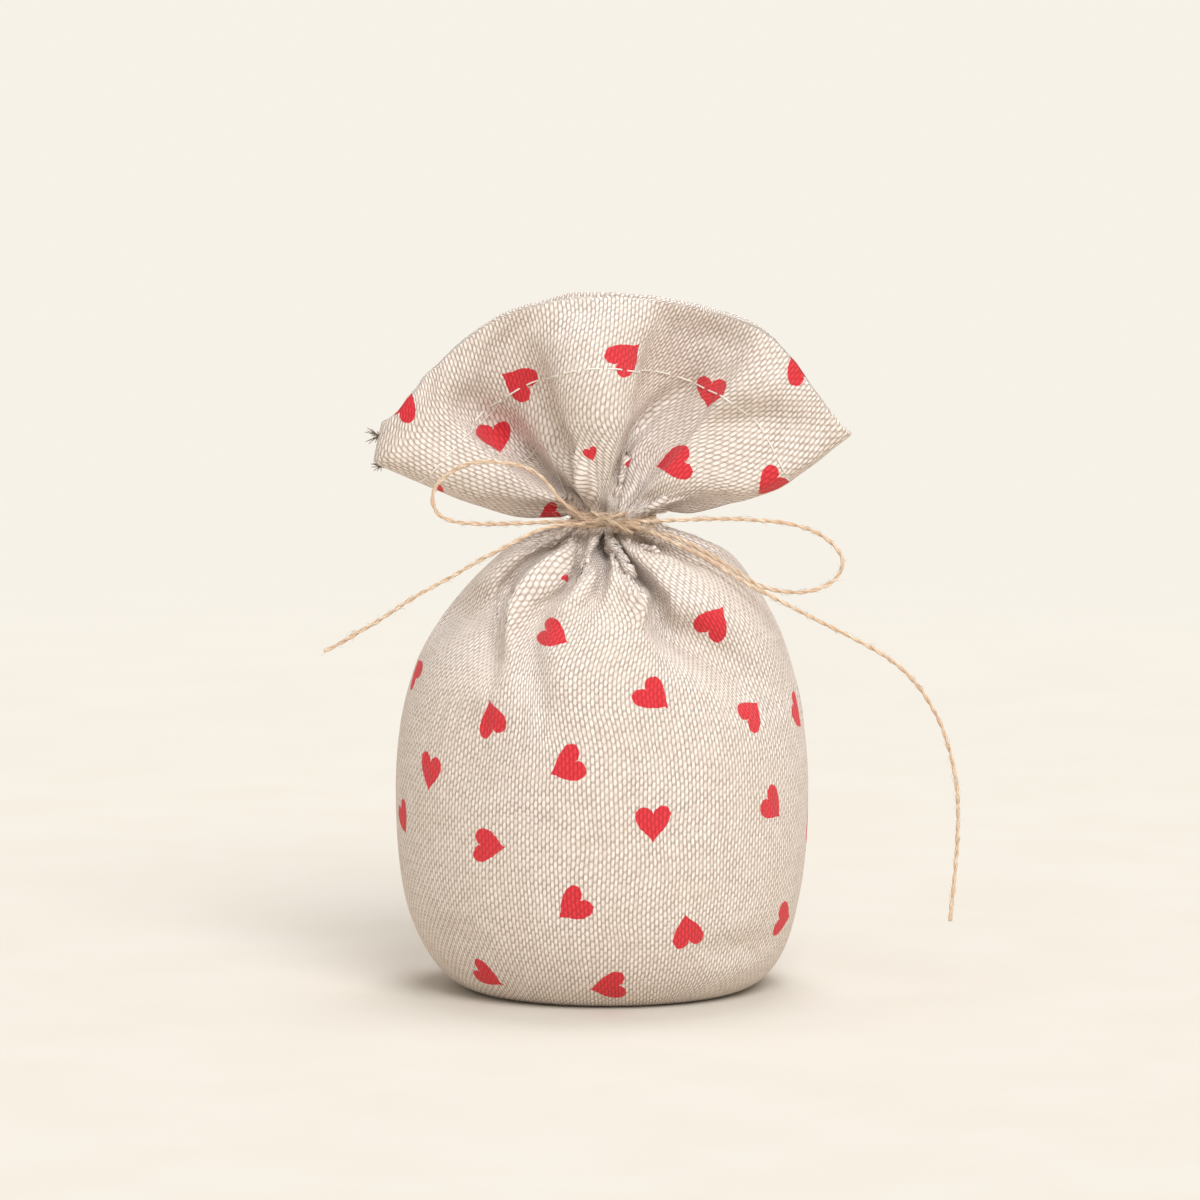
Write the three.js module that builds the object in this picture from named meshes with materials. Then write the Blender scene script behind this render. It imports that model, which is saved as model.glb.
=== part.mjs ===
// Small linen pouch, filled and tied at the neck with a bow of jute twine.
// Two cloth panels are sewn together at the sides and under the base. The twine gathers them at the
// neck, and above it the hemmed mouth stands open as a flat fan. Millimetres, +Z up, front towards -Y,
// origin on the ground under the middle of the pouch.
import * as THREE from "three";
import { mergeVertices } from "three/addons/utils/BufferGeometryUtils.js";

// Cloth
const flatWidth = 129;
const clothThickness = 0.7;
const seamGap = 0.3;
const hemDepth = 15;
const hemExtra = 0.5;

// Filled body, as a profile of radius against height
const baseRadius = 24;
const bellyHeight = 40;
const bellyRadius = flatWidth / Math.PI;
const neckHeight = 94.4;
const neckRadius = 7;
const crownDrop = 3.4;
const sleeveRise = 2.6;
const baseRoundness = 2.4;

// Gathers
const pleatCount = 10;
const pleatDepth = 1.6;
const pleatShare = 0.085;
const pleatStart = 66;
const pleatFull = 90;

// Main forms of the filled body. It leans a little to the left, its right shoulder is the fuller one,
// and on the left of the front a broad fold runs down from the tie. Each form has its middle and
// half width in degrees from the front to the right, and its ends in height.
const footLean = -1.2;
const bodyLean = -2.1;
const leanStart = 20;
const leanFade = [66, 92];
const bodyForms = [
  { middle: 80, reach: 68, low: 58, high: 86, depth: 1.6 },
  { middle: -50, reach: 26, low: 62, high: 88, depth: -2.6 },
];

// Fanned header above the tie
const headerHeight = 46;
const cornerReach = 47.7;
const leftCornerRise = 12;
const rightCornerRise = 16.2;
const ballRadius = 5.3;
const ballTop = 4;
const fanStart = 2.8;
const fanFull = 16;
const mouthOpening = 3.4;
const waveDepth = 3.2;
const headerPleatDepth = 0.8;

// Seam allowances and filling
const allowanceWidth = 6;
const allowanceThickness = 1.2;
const allowanceFoot = 2;
const allowanceTop = 82;
const fillingDrop = 7.4;
const clearance = 0.3;

// Twine
const twineDiameter = 1.1;
const twineSides = 8;
const wrapTurns = 2;
const wrapPitch = 1.7;
const knotReach = 2.4;
const knotHeight = 1;
const knotDepth = 1.45;
const knotRise = 0.6;

// Mesh density. Rows of the wall are shares of the height up to the belly and from there up to the
// crown, and then distances above the crown.
const panelColumns = 30;
const baseRows = 2;
const lowerRows = [0, 0.0125, 0.06, 0.175, 0.375, 0.65, 0.95];
const shoulderRows = [0.18, 0.35, 0.51, 0.65, 0.765, 0.86, 0.935, 0.98];
const crownRows = [0, 0.6, 1.4];
const footDistances = [-4, -1.2, 1.3, 3.3, 5.5, 8.5, 12.5, 17.5];
const strandStep = 3.6;

// Routes of the bow, front to the viewer, as points along the middle of the twine
const leftLoopRoute = [
  [-7.5, -11.2, 96.9],
  [-10.5, -11.6, 99.5],
  [-13.5, -12, 103.3],
  [-16, -12.3, 105.3],
  [-18.7, -12.6, 106.4],
  [-22.5, -12.9, 107],
  [-26.5, -13, 107.1],
  [-30, -13, 106.2],
  [-32.7, -12.9, 104.6],
  [-34.7, -12.8, 102.7],
  [-35.7, -12.7, 100.5],
  [-35.5, -12.6, 98.2],
  [-34.3, -12.5, 96.4],
  [-31.8, -12.4, 95.2],
  [-28.4, -12.2, 94.7],
  [-23.5, -12, 94.6],
  [-18.5, -11.9, 94.7],
  [-13, -11.6, 94.9],
  [-7.5, -11.2, 94.9],
];
const rightLoopRoute = [
  [7.5, -11.2, 95],
  [13.5, -12, 95.4],
  [21.5, -12.5, 95.7],
  [27.5, -12.7, 95.5],
  [33.5, -12.7, 95],
  [37.5, -12.6, 94.1],
  [40.6, -12.5, 92.9],
  [43.2, -12.5, 91.1],
  [45, -12.5, 89.1],
  [45.7, -12.5, 87.2],
  [45.4, -12.5, 85.4],
  [44.4, -12.6, 83.8],
  [42.5, -12.7, 82.4],
  [39.8, -12.8, 81.4],
  [36.5, -12.9, 81],
  [32.5, -13, 81.4],
  [28.5, -13, 82.7],
  [22.9, -13.4, 86.4],
  [17.5, -13.5, 89.6],
  [12, -12.7, 92.2],
  [7.5, -11.2, 92.8],
];
const leftTailRoute = [
  [-7.5, -12.9, 94.6],
  [-10, -13.7, 94.6],
  [-12.6, -14.4, 94.2],
  [-15.5, -15, 93.4],
  [-18.5, -15.5, 91.9],
  [-22.5, -15.9, 89.8],
  [-26, -16.1, 88],
  [-29.5, -16.1, 86],
  [-34.5, -15.9, 83.1],
  [-38, -15.7, 81.2],
  [-41.5, -15.4, 79],
  [-46.5, -14.7, 75.6],
  [-50, -14.1, 73.5],
  [-53.5, -13.6, 71.3],
  [-57.3, -13, 69.2],
];
const rightTailRoute = [
  [7.5, -12.9, 93.2],
  [11.5, -14.1, 91.4],
  [17.5, -15.3, 88.8],
  [21.7, -15.9, 86.3],
  [25.9, -16.2, 83.6],
  [31.7, -16.1, 80.5],
  [37.5, -15.8, 77.4],
  [42.5, -15.2, 74.8],
  [47.5, -14.4, 72.2],
  [51.6, -13.6, 69.9],
  [55.5, -12.8, 67.3],
  [58.8, -12, 64.4],
  [61.6, -11.2, 61],
  [63.8, -10.6, 57.4],
  [65.6, -10, 53.8],
  [67.1, -9.4, 49.2],
  [68.2, -9, 44.6],
  [68.8, -8.7, 40.6],
  [69, -8.5, 36.6],
  [68.9, -8.2, 30.5],
  [68.5, -8, 24.5],
  [68, -8, 19.2],
  [67.5, -8, 14.2],
];

const linen = new THREE.MeshStandardMaterial({ color: 0xe2d1c0, roughness: 0.95, metalness: 0 });
const allowanceCloth = new THREE.MeshStandardMaterial({ color: 0xd8c6b2, roughness: 0.95, metalness: 0 });
const jute = new THREE.MeshStandardMaterial({ color: 0xc9a57a, roughness: 0.9, metalness: 0 });
const grain = new THREE.MeshStandardMaterial({ color: 0xcbb894, roughness: 1, metalness: 0 });

const { lerp, smoothstep } = THREE.MathUtils;
const pouch = new THREE.Group();

function addPiece(name, geometry, material) {
  const mesh = new THREE.Mesh(geometry, material);
  mesh.name = name;
  pouch.add(mesh);
}

// A closed sheet between two surfaces, each a function of (u, v) from 0 to 1. Seen from the outer
// side, u runs to the right and v upwards.
function thickSheet(columns, rows, outer, inner) {
  const positions = [];
  const faces = [];
  const perSurface = (columns + 1) * (rows + 1);
  const at = (column, row) => row * (columns + 1) + column;
  for (const surface of [outer, inner]) {
    for (let row = 0; row <= rows; row++) {
      for (let column = 0; column <= columns; column++) {
        positions.push(...surface(column / columns, row / rows).toArray());
      }
    }
  }
  const quad = (a, b, c, d) => faces.push(a, b, c, a, c, d);
  for (let row = 0; row < rows; row++) {
    for (let column = 0; column < columns; column++) {
      const corners = [at(column, row), at(column + 1, row), at(column + 1, row + 1), at(column, row + 1)];
      quad(...corners);
      quad(...corners.map((corner) => corner + perSurface).reverse());
    }
  }
  const rim = (a, b) => quad(b, a, a + perSurface, b + perSurface);
  for (let column = 0; column < columns; column++) {
    rim(at(column, 0), at(column + 1, 0));
    rim(at(column + 1, rows), at(column, rows));
  }
  for (let row = 0; row < rows; row++) {
    rim(at(columns, row), at(columns, row + 1));
    rim(at(0, row + 1), at(0, row));
  }
  const geometry = new THREE.BufferGeometry();
  geometry.setAttribute("position", new THREE.Float32BufferAttribute(positions, 3));
  geometry.setIndex(faces);
  return geometry;
}

// Profile of the filled body from the edge of its flat base to the top of the gathered neck:
// x is the radius and y the height.
function bodyProfile() {
  const points = [];
  const crownHeight = neckHeight - crownDrop;
  const lowerSteps = 5;
  for (let step = 0; step <= lowerSteps; step++) {
    const angle = (step / lowerSteps) * (Math.PI / 2);
    const out = Math.sin(angle) ** (2 / baseRoundness);
    const up = 1 - Math.cos(angle) ** (2 / baseRoundness);
    points.push(new THREE.Vector2(lerp(baseRadius, bellyRadius, out), bellyHeight * up));
  }
  const shoulderSteps = 6;
  const shoulderEnd = THREE.MathUtils.degToRad(79);
  for (let step = 1; step <= shoulderSteps; step++) {
    const angle = (step / shoulderSteps) * shoulderEnd;
    const radius = lerp(neckRadius, bellyRadius, Math.cos(angle));
    points.push(new THREE.Vector2(radius, lerp(bellyHeight, crownHeight, Math.sin(angle))));
  }
  const filletRadius = 1.3;
  points.push(new THREE.Vector2(neckRadius + 2 * filletRadius, crownHeight - 0.1));
  points.push(new THREE.Vector2(neckRadius + 0.3 * filletRadius, crownHeight + 0.7 * filletRadius));
  points.push(new THREE.Vector2(neckRadius, neckHeight));
  points.push(new THREE.Vector2(neckRadius, neckHeight + sleeveRise));
  return new THREE.SplineCurve(points);
}
const profile = bodyProfile();

// The gathers: narrow and wide pleats in turn, none at the side seams.
function pleatWave(angle) {
  const crest = Math.cos(pleatCount * angle + 0.8 * Math.sin(3 * angle + 0.6));
  return crest * smoothstep(Math.abs(Math.sin(angle)), 0.1, 0.45);
}

// How far the main forms stand out of the body, or into it where negative.
function formDepth(angle, height) {
  let depth = 0;
  for (const form of bodyForms) {
    const fromFront = THREE.MathUtils.radToDeg(angle) + 90;
    const away = Math.abs(THREE.MathUtils.euclideanModulo(fromFront - form.middle + 180, 360) - 180);
    const around = (1 + Math.cos(Math.PI * Math.min(away / form.reach, 1))) / 2;
    const middle = (form.low + form.high) / 2;
    const along = smoothstep(height, form.low, middle) * (1 - smoothstep(height, middle, form.high));
    depth += form.depth * around * along;
  }
  return depth;
}

// Point on the body at a share of the profile's length, without pleats, moved outwards by out.
function wallPoint(angle, share, out) {
  const place = profile.getPointAt(share);
  const tangent = profile.getTangentAt(share);
  const moved = formDepth(angle, place.y) + out;
  const radius = place.x + moved * tangent.y;
  return new THREE.Vector3(radius * Math.cos(angle), radius * Math.sin(angle), place.y - moved * tangent.x);
}

// Point on the cloth of the body, moved inwards by inset.
function bodyPoint(angle, share, inset) {
  const place = profile.getPointAt(share);
  const depth = smoothstep(place.y, pleatStart, pleatFull) * Math.min(pleatDepth, place.x * pleatShare);
  return wallPoint(angle, share, depth * pleatWave(angle) - inset);
}

function leaned(point) {
  const raised = smoothstep(point.z, 0, leanStart);
  const full = lerp(footLean, bodyLean, raised);
  point.x += full * (1 - smoothstep(point.z, ...leanFade));
  return point;
}

function wallHeights() {
  const crownHeight = neckHeight - crownDrop;
  const heights = lowerRows.map((share) => share * bellyHeight);
  heights.push(...shoulderRows.map((share) => lerp(bellyHeight, crownHeight, share)));
  heights.push(...crownRows.map((rise) => crownHeight + rise));
  heights.push(neckHeight, neckHeight + sleeveRise);
  return heights;
}
const wallShares = wallHeights().map((height) => (height > 0 ? shareAtHeight(height) : 0));

function wallSharesWithin(low, high) {
  return wallShares.filter((share, row) => wallHeights()[row] > low && wallHeights()[row] < high);
}

// Rows of a panel: first the flat base from the seam under it to its edge, then the wall, with
// closer rows at the foot and the neck.
function panelPoint(firstAngle, u, v, inset) {
  const angle = firstAngle + Math.PI * u;
  const row = Math.round(v * (baseRows + wallShares.length - 1));
  const outwards = firstAngle === 0 ? 1 : -1;
  let point;
  if (row < baseRows) {
    const share = row / baseRows;
    const edge = bodyPoint(angle, 0, inset);
    point = new THREE.Vector3(edge.x * lerp(0.8, 1, share), edge.y * share, edge.z);
  } else {
    point = bodyPoint(angle, wallShares[row - baseRows], inset);
  }
  point.y += (outwards * seamGap) / 2;
  return leaned(point);
}

function buildPanel(firstAngle) {
  return thickSheet(
    panelColumns,
    baseRows + wallShares.length - 1,
    (u, v) => panelPoint(firstAngle, u, v, 0),
    (u, v) => panelPoint(firstAngle, u, v, clothThickness),
  );
}

// The seam allowance: both panels' raw edges, sewn and overlocked, lying against the wall inside. It has
// the wall's own rows.
function buildAllowance(side) {
  const shares = wallSharesWithin(allowanceFoot, allowanceTop);
  const rows = shares.length - 1;
  const columns = 4;
  const angle = side > 0 ? 0 : Math.PI;
  const surface = (inset) => (u, v) => {
    const share = shares[Math.round(v * rows)];
    const place = bodyPoint(angle, share, clothThickness + clearance + inset);
    const across = (u - 0.5) * allowanceWidth;
    const x = Math.sqrt(place.x ** 2 - across ** 2);
    return leaned(new THREE.Vector3(side * x, side * across, place.z));
  };
  return thickSheet(columns, rows, surface(0), surface(allowanceThickness));
}

function shareAtHeight(height) {
  let low = 0;
  let high = 1;
  while (high - low > 1e-5) {
    const middle = (low + high) / 2;
    if (profile.getPointAt(middle).y < height) {
      low = middle;
    } else {
      high = middle;
    }
  }
  return low;
}

// The loose filling: it takes up the body's own shape, clear of the gathers and the allowances.
function buildFilling() {
  const columns = 32;
  const around = Math.max(allowanceThickness + 2 * clearance, pleatDepth + clearance);
  const topShare = shareAtHeight(neckHeight - fillingDrop);
  const shares = [0, ...wallSharesWithin(0, neckHeight - fillingDrop), topShare];
  const rows = shares.length - 1;
  const floor = clothThickness + clearance;
  const positions = [];
  const faces = [];
  const centres = (rows + 1) * columns;
  for (let row = 0; row <= rows; row++) {
    for (let column = 0; column < columns; column++) {
      const angle = (column / columns) * 2 * Math.PI;
      const point = wallPoint(angle, shares[row], -clothThickness - around);
      if (row === 0) {
        point.x = (baseRadius - around) * Math.cos(angle);
        point.y = (baseRadius - around) * Math.sin(angle);
      }
      point.z = row === 0 ? floor : Math.max(point.z, floor + row * clearance);
      positions.push(...leaned(point).toArray());
      const here = row * columns + column;
      const next = row * columns + ((column + 1) % columns);
      if (row < rows) {
        faces.push(here, next, next + columns, here, next + columns, here + columns);
      } else {
        faces.push(here, next, centres + 1);
      }
      if (row === 0) {
        faces.push(next, here, centres);
      }
    }
  }
  const top = wallPoint(Math.PI, topShare, -clothThickness - around).z + 2 * clearance;
  for (const height of [floor, top]) {
    positions.push(...leaned(new THREE.Vector3(0, 0, height)).toArray());
  }
  const geometry = new THREE.BufferGeometry();
  geometry.setAttribute("position", new THREE.Float32BufferAttribute(positions, 3));
  geometry.setIndex(faces);
  return geometry;
}

function closed(geometry) {
  geometry.deleteAttribute("normal");
  geometry.deleteAttribute("uv");
  return mergeVertices(geometry);
}

// The header, as a fan about the tie. Its foot is the wad of cloth inside the tie, half a ball on
// each panel, so that the header can lean to the front and back in the tie.
const leftAngle = Math.PI - Math.atan2(leftCornerRise, cornerReach);
const rightAngle = Math.atan2(rightCornerRise, cornerReach);
const leftRim = Math.hypot(leftCornerRise, cornerReach);
const rightRim = Math.hypot(rightCornerRise, cornerReach);

function rimReach(u) {
  const fromMiddle = 2 * u - 1;
  const corner = fromMiddle < 0 ? leftRim : rightRim;
  return lerp(headerHeight, corner, fromMiddle ** 2);
}

function columnRadius(distance) {
  return Math.sqrt(ballRadius ** 2 - Math.min(distance, ballTop) ** 2);
}

// Waves that both layers of the mouth share, towards the back where positive.
function mouthWave(u, distance) {
  const rise = smoothstep(distance, fanStart, headerHeight);
  const gathers = smoothstep(distance, fanStart, fanFull) * (1 - smoothstep(distance, fanFull, headerHeight));
  const folds = headerPleatDepth * gathers * Math.cos(pleatCount * Math.PI * u);
  return waveDepth * rise * Math.sin(Math.PI * u) * Math.sin(4.5 * Math.PI * u + 0.4) + folds;
}

// Distance of a row from the tie: first the foot, then the doubled hem with its step.
function rowDistance(row, reach) {
  const hemDistances = [reach - hemDepth, reach - hemDepth + hemExtra, reach - hemDepth / 2, reach];
  return [...footDistances, ...hemDistances][row];
}

// u runs from the left corner to the right one. The layer is -1 for the front and 1 for the back.
// The hem is turned to the inside, so the inner face has its step.
function headerPoint(layer, u, row, outer) {
  const reach = rimReach(u);
  const distance = rowDistance(row, reach);
  const angle = lerp(leftAngle, rightAngle, u);
  const radius = columnRadius(distance);
  const wall = seamGap / 2 + clothThickness;
  const column = new THREE.Vector3(
    -radius * Math.cos(Math.PI * u),
    layer * (outer ? wall + (radius - wall) * Math.sin(Math.PI * u) : seamGap / 2),
    distance,
  );
  const apart = seamGap / 2 + mouthOpening * Math.sin(Math.PI * u) * smoothstep(distance, fanStart, reach);
  const inHem = distance > reach - hemDepth;
  const depth = outer ? hemExtra + clothThickness : inHem ? 0 : hemExtra;
  const fan = new THREE.Vector3(
    distance * Math.cos(angle),
    mouthWave(u, distance) + layer * (apart + depth),
    distance * Math.sin(angle),
  );
  const point = column.lerp(fan, smoothstep(distance, fanStart, fanFull));
  point.z += neckHeight;
  return point;
}

function buildHeader(layer) {
  const rows = footDistances.length + 3;
  const across = (u) => (layer < 0 ? u : 1 - u);
  return thickSheet(
    panelColumns,
    rows,
    (u, v) => headerPoint(layer, across(u), Math.round(v * rows), true),
    (u, v) => headerPoint(layer, across(u), Math.round(v * rows), false),
  );
}

// Twine as a round tube along a curve, with flat ends.
function twineAlong(curve, steps, sides, isClosed = false) {
  const section = new THREE.Shape();
  for (let side = 0; side < sides; side++) {
    const angle = (side / sides) * 2 * Math.PI;
    const x = (twineDiameter / 2) * Math.cos(angle);
    const y = (twineDiameter / 2) * Math.sin(angle);
    if (side === 0) {
      section.moveTo(x, y);
    } else {
      section.lineTo(x, y);
    }
  }
  section.closePath();
  const geometry = new THREE.ExtrudeGeometry(section, { steps, extrudePath: curve, bevelEnabled: false });
  return isClosed ? geometry : closed(geometry);
}

function buildStrand(route) {
  const curve = new THREE.CatmullRomCurve3(route.map((point) => new THREE.Vector3(...point)));
  const steps = Math.ceil(curve.getLength() / (strandStep * twineDiameter));
  return twineAlong(curve, steps, twineSides);
}

// Two turns of twine round the neck. Their ends meet behind the knot.
class WrapCurve extends THREE.Curve {
  getPoint(t, target = new THREE.Vector3()) {
    const radius = neckRadius + neckRadius * pleatShare + clearance + twineDiameter / 2;
    const angle = -Math.PI / 2 + 2 * Math.PI * (wrapTurns * t);
    const height = neckHeight + wrapPitch * wrapTurns * (t - 0.5);
    return target.set(radius * Math.cos(angle), radius * Math.sin(angle), height);
  }
}

// The knot of the bow, as an overhand knot drawn out sideways.
class KnotCurve extends THREE.Curve {
  getPoint(t, target = new THREE.Vector3()) {
    const angle = 2 * Math.PI * t;
    const middle = neckRadius * (1 + pleatShare) + 1.5 * twineDiameter + 2 * clearance + knotDepth;
    return target.set(
      knotReach * (Math.sin(angle) + 2 * Math.sin(2 * angle)),
      -middle - knotDepth * Math.sin(3 * angle),
      neckHeight + knotRise + knotHeight * (Math.cos(angle) - 2 * Math.cos(2 * angle)),
    );
  }
}

// Least distance between the surfaces of a tube's own strands, over points further apart along it
// than three diameters.
function leastSelfGap(curve, isClosed) {
  const count = 400;
  const points = curve.getSpacedPoints(count);
  const length = curve.getLength();
  let least = Infinity;
  for (let first = 0; first < count; first++) {
    for (let second = first + 1; second < count; second++) {
      const between = ((second - first) / count) * length;
      const along = isClosed ? Math.min(between, length - between) : between;
      if (along > 3 * twineDiameter) {
        least = Math.min(least, points[first].distanceTo(points[second]) - twineDiameter);
      }
    }
  }
  return least;
}

// A tube round a closed curve, without end faces.
function closedTwine(curve, steps) {
  const frames = curve.computeFrenetFrames(steps, true);
  const positions = [];
  const faces = [];
  for (let step = 0; step < steps; step++) {
    const middle = curve.getPointAt(step / steps);
    for (let side = 0; side < twineSides; side++) {
      const angle = (side / twineSides) * 2 * Math.PI;
      const offset = frames.normals[step].clone().multiplyScalar(Math.cos(angle));
      offset.addScaledVector(frames.binormals[step], Math.sin(angle));
      positions.push(...middle.clone().addScaledVector(offset, twineDiameter / 2).toArray());
      const nextStep = ((step + 1) % steps) * twineSides;
      const nextSide = (side + 1) % twineSides;
      const here = step * twineSides;
      faces.push(here + side, here + nextSide, nextStep + nextSide);
      faces.push(here + side, nextStep + nextSide, nextStep + side);
    }
  }
  const geometry = new THREE.BufferGeometry();
  geometry.setAttribute("position", new THREE.Float32BufferAttribute(positions, 3));
  geometry.setIndex(faces);
  return geometry;
}

const frontAngle = Math.PI;
const backAngle = 0;
addPiece("front_panel", buildPanel(frontAngle), linen);
addPiece("back_panel", buildPanel(backAngle), linen);
addPiece("left_side_seam", buildAllowance(-1), allowanceCloth);
addPiece("right_side_seam", buildAllowance(1), allowanceCloth);
addPiece("filling", buildFilling(), grain);
addPiece("front_header", buildHeader(-1), linen);
addPiece("back_header", buildHeader(1), linen);

const wrapCurve = new WrapCurve();
const knotCurve = new KnotCurve();
console.log("least gap in the neck wrap", leastSelfGap(wrapCurve, false).toFixed(2));
console.log("least gap in the knot", leastSelfGap(knotCurve, true).toFixed(2));
addPiece("neck_wrap", twineAlong(wrapCurve, 24 * wrapTurns, 6), jute);
addPiece("bow_knot", closedTwine(knotCurve, 48), jute);
addPiece("left_loop", buildStrand(leftLoopRoute), jute);
addPiece("right_loop", buildStrand(rightLoopRoute), jute);
addPiece("left_tail", buildStrand(leftTailRoute), jute);
addPiece("right_tail", buildStrand(rightTailRoute), jute);

export default pouch;
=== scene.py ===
import math

import bpy
import numpy as np
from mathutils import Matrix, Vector


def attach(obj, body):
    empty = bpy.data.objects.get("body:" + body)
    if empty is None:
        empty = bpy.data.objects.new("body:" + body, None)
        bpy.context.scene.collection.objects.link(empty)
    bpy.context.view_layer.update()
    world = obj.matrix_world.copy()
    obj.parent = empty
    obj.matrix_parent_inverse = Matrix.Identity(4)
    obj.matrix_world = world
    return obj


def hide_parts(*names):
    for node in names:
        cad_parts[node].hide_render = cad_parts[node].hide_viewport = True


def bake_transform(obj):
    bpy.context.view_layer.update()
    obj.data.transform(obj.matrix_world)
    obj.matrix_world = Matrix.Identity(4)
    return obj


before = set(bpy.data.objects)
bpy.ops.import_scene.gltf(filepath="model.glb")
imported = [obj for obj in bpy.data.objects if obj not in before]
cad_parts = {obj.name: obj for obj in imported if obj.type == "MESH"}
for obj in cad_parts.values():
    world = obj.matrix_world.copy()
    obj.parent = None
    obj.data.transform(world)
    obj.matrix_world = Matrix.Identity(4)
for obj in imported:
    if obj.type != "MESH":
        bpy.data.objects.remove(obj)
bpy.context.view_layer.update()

scene = bpy.context.scene
scene.view_settings.view_transform = "Standard"


# Camera. The pouch is seen straight from the front, about 7 degrees from above, through a long lens.
# The frame is 240 mm wide at the pouch, and its middle lies 2.5 mm to the left of the tie. Places that are
# taken from the photo are pixels of a picture 1200 wide and 1200 high, so 5 of them are a millimetre.
view_tilt = math.radians(7)
view_distance = 2.0
view_width = 0.240
view_middle = Vector((-0.0025, 0, 0.0779))
toward_camera = Vector((0, -math.cos(view_tilt), math.sin(view_tilt)))
up_in_view = Vector((0, math.sin(view_tilt), math.cos(view_tilt)))
camera_way = np.array(toward_camera)
view_up = np.array(up_in_view)
sensor_width = 36
picture_size = 1200
pixels_per_mm = 5
camera_data = bpy.data.cameras.new("front_camera")
camera_data.sensor_width = sensor_width
camera_data.lens = sensor_width * view_distance / view_width
camera_data.clip_start = 0.01
camera_data.clip_end = 20
camera = bpy.data.objects.new("front_camera", camera_data)
camera.location = view_middle + toward_camera * view_distance
camera.rotation_euler = (math.pi / 2 - view_tilt, 0, 0)
scene.collection.objects.link(camera)
scene.camera = camera


# Jute twine. One length of about 0.45 m: two plies of hairy jute fibre twisted together, 1.1 mm thick.
# Its two loops and two tails are free cords. Each starts in the knot, and the loops go back into it.
ply_radius = 0.00026
ply_offset = 0.00019
twist_pitch = 0.0054
route_step = 0.0004
hair_root = 0.00042
hair_radii = np.array([0.034, 0.03, 0.026, 0.02, 0.012]) * 0.001
hairs_by_chance = np.random.RandomState(11)


def shade(code):
    parts = [int(code[place:place + 2], 16) / 255 for place in (1, 3, 5)]
    return [part / 12.92 if part <= 0.04045 else ((part + 0.055) / 1.055) ** 2.4 for part in parts] + [1]


def node(tree, kind, inputs=None, **settings):
    added = tree.nodes.new(kind)
    for name, value in settings.items():
        setattr(added, name, value)
    for name, value in (inputs or {}).items():
        if isinstance(value, bpy.types.NodeSocket):
            tree.links.new(value, added.inputs[name])
        else:
            added.inputs[name].default_value = value
    return added


def figure(tree, operation, first, second=0.0):
    return node(tree, "ShaderNodeMath", {0: first, 1: second}, operation=operation).outputs[0]


def eased(tree, value, low, high, to_low=0.0, to_high=1.0):
    inputs = {"Value": value, "From Min": low, "From Max": high, "To Min": to_low, "To Max": to_high}
    return node(tree, "ShaderNodeMapRange", inputs, interpolation_type="SMOOTHSTEP").outputs["Result"]


def mixed(tree, share, first, second, blend="MIX"):
    inputs = {0: share, 6: first, 7: second}
    return node(tree, "ShaderNodeMix", inputs, data_type="RGBA", blend_type=blend).outputs[2]


def marks_of(tree, name):
    return node(tree, "ShaderNodeUVMap", uv_map=name).outputs["UV"]


def places_of(tree):
    return node(tree, "ShaderNodeTexCoord").outputs["Object"]


def noise(tree, places, scale, detail, output="Fac"):
    inputs = {"Vector": places, "Scale": scale, "Detail": detail}
    return node(tree, "ShaderNodeTexNoise", inputs).outputs[output]


def drawn_out(tree, places, scale):
    return node(tree, "ShaderNodeMapping", {"Vector": places, "Scale": scale}).outputs["Vector"]


def new_finish(name):
    material = bpy.data.materials.new(name)
    material.use_nodes = True
    tree = material.node_tree
    return material, tree, tree.nodes["Principled BSDF"]


def finish_surface(tree, surface, tone, height, depth, strength, values):
    bump = node(tree, "ShaderNodeBump", {"Height": height, "Distance": depth, "Strength": strength})
    tree.links.new(tone, surface.inputs["Base Color"])
    tree.links.new(bump.outputs["Normal"], surface.inputs["Normal"])
    for name, value in values.items():
        surface.inputs[name].default_value = value


def jute_finish():
    material, tree, surface = new_finish("jute_fibre")
    streaks = noise(tree, drawn_out(tree, marks_of(tree, "fibre"), (9, 0.55, 1)), 1.0, 3.0)
    patches = noise(tree, places_of(tree), 140.0, 2.0)
    tone = mixed(tree, eased(tree, streaks, 0.32, 0.66), shade("#c29f7e"), shade("#f6e4cd"))
    tone = mixed(tree, eased(tree, patches, 0.42, 0.62, 0.0, 0.55), tone, shade("#d8b89c"))
    finish_surface(tree, surface, tone, streaks, 0.00012, 0.8, {
        "Roughness": 0.78, "Specular IOR Level": 0.3, "Sheen Weight": 0.25, "Sheen Roughness": 0.5})
    return material


jute = jute_finish()


def lengths_along(line):
    return np.concatenate([[0], np.cumsum(np.linalg.norm(np.diff(line, axis=0), axis=1))])


def points_at(places, run, values):
    return np.stack([np.interp(places, run, values[:, axis]) for axis in range(values.shape[1])], 1)


def smooth_line(points, step):
    knots = np.array(points, float)
    knots = np.vstack([2 * knots[0] - knots[1], knots, 2 * knots[-1] - knots[-2]])
    fine = []
    for place in range(1, len(knots) - 2):
        before, start, end, after = knots[place - 1:place + 3]
        for share in np.linspace(0, 1, 24, endpoint=False):
            line = 2 * start + (end - before) * share
            curve = (2 * before - 5 * start + 4 * end - after) * share ** 2
            turn = (3 * start - before - 3 * end + after) * share ** 3
            fine.append(0.5 * (line + curve + turn))
    fine = np.array(fine + [knots[-2]])
    run = lengths_along(fine)
    return points_at(np.linspace(0, run[-1], max(2, round(run[-1] / step)) + 1), run, fine)


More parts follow.
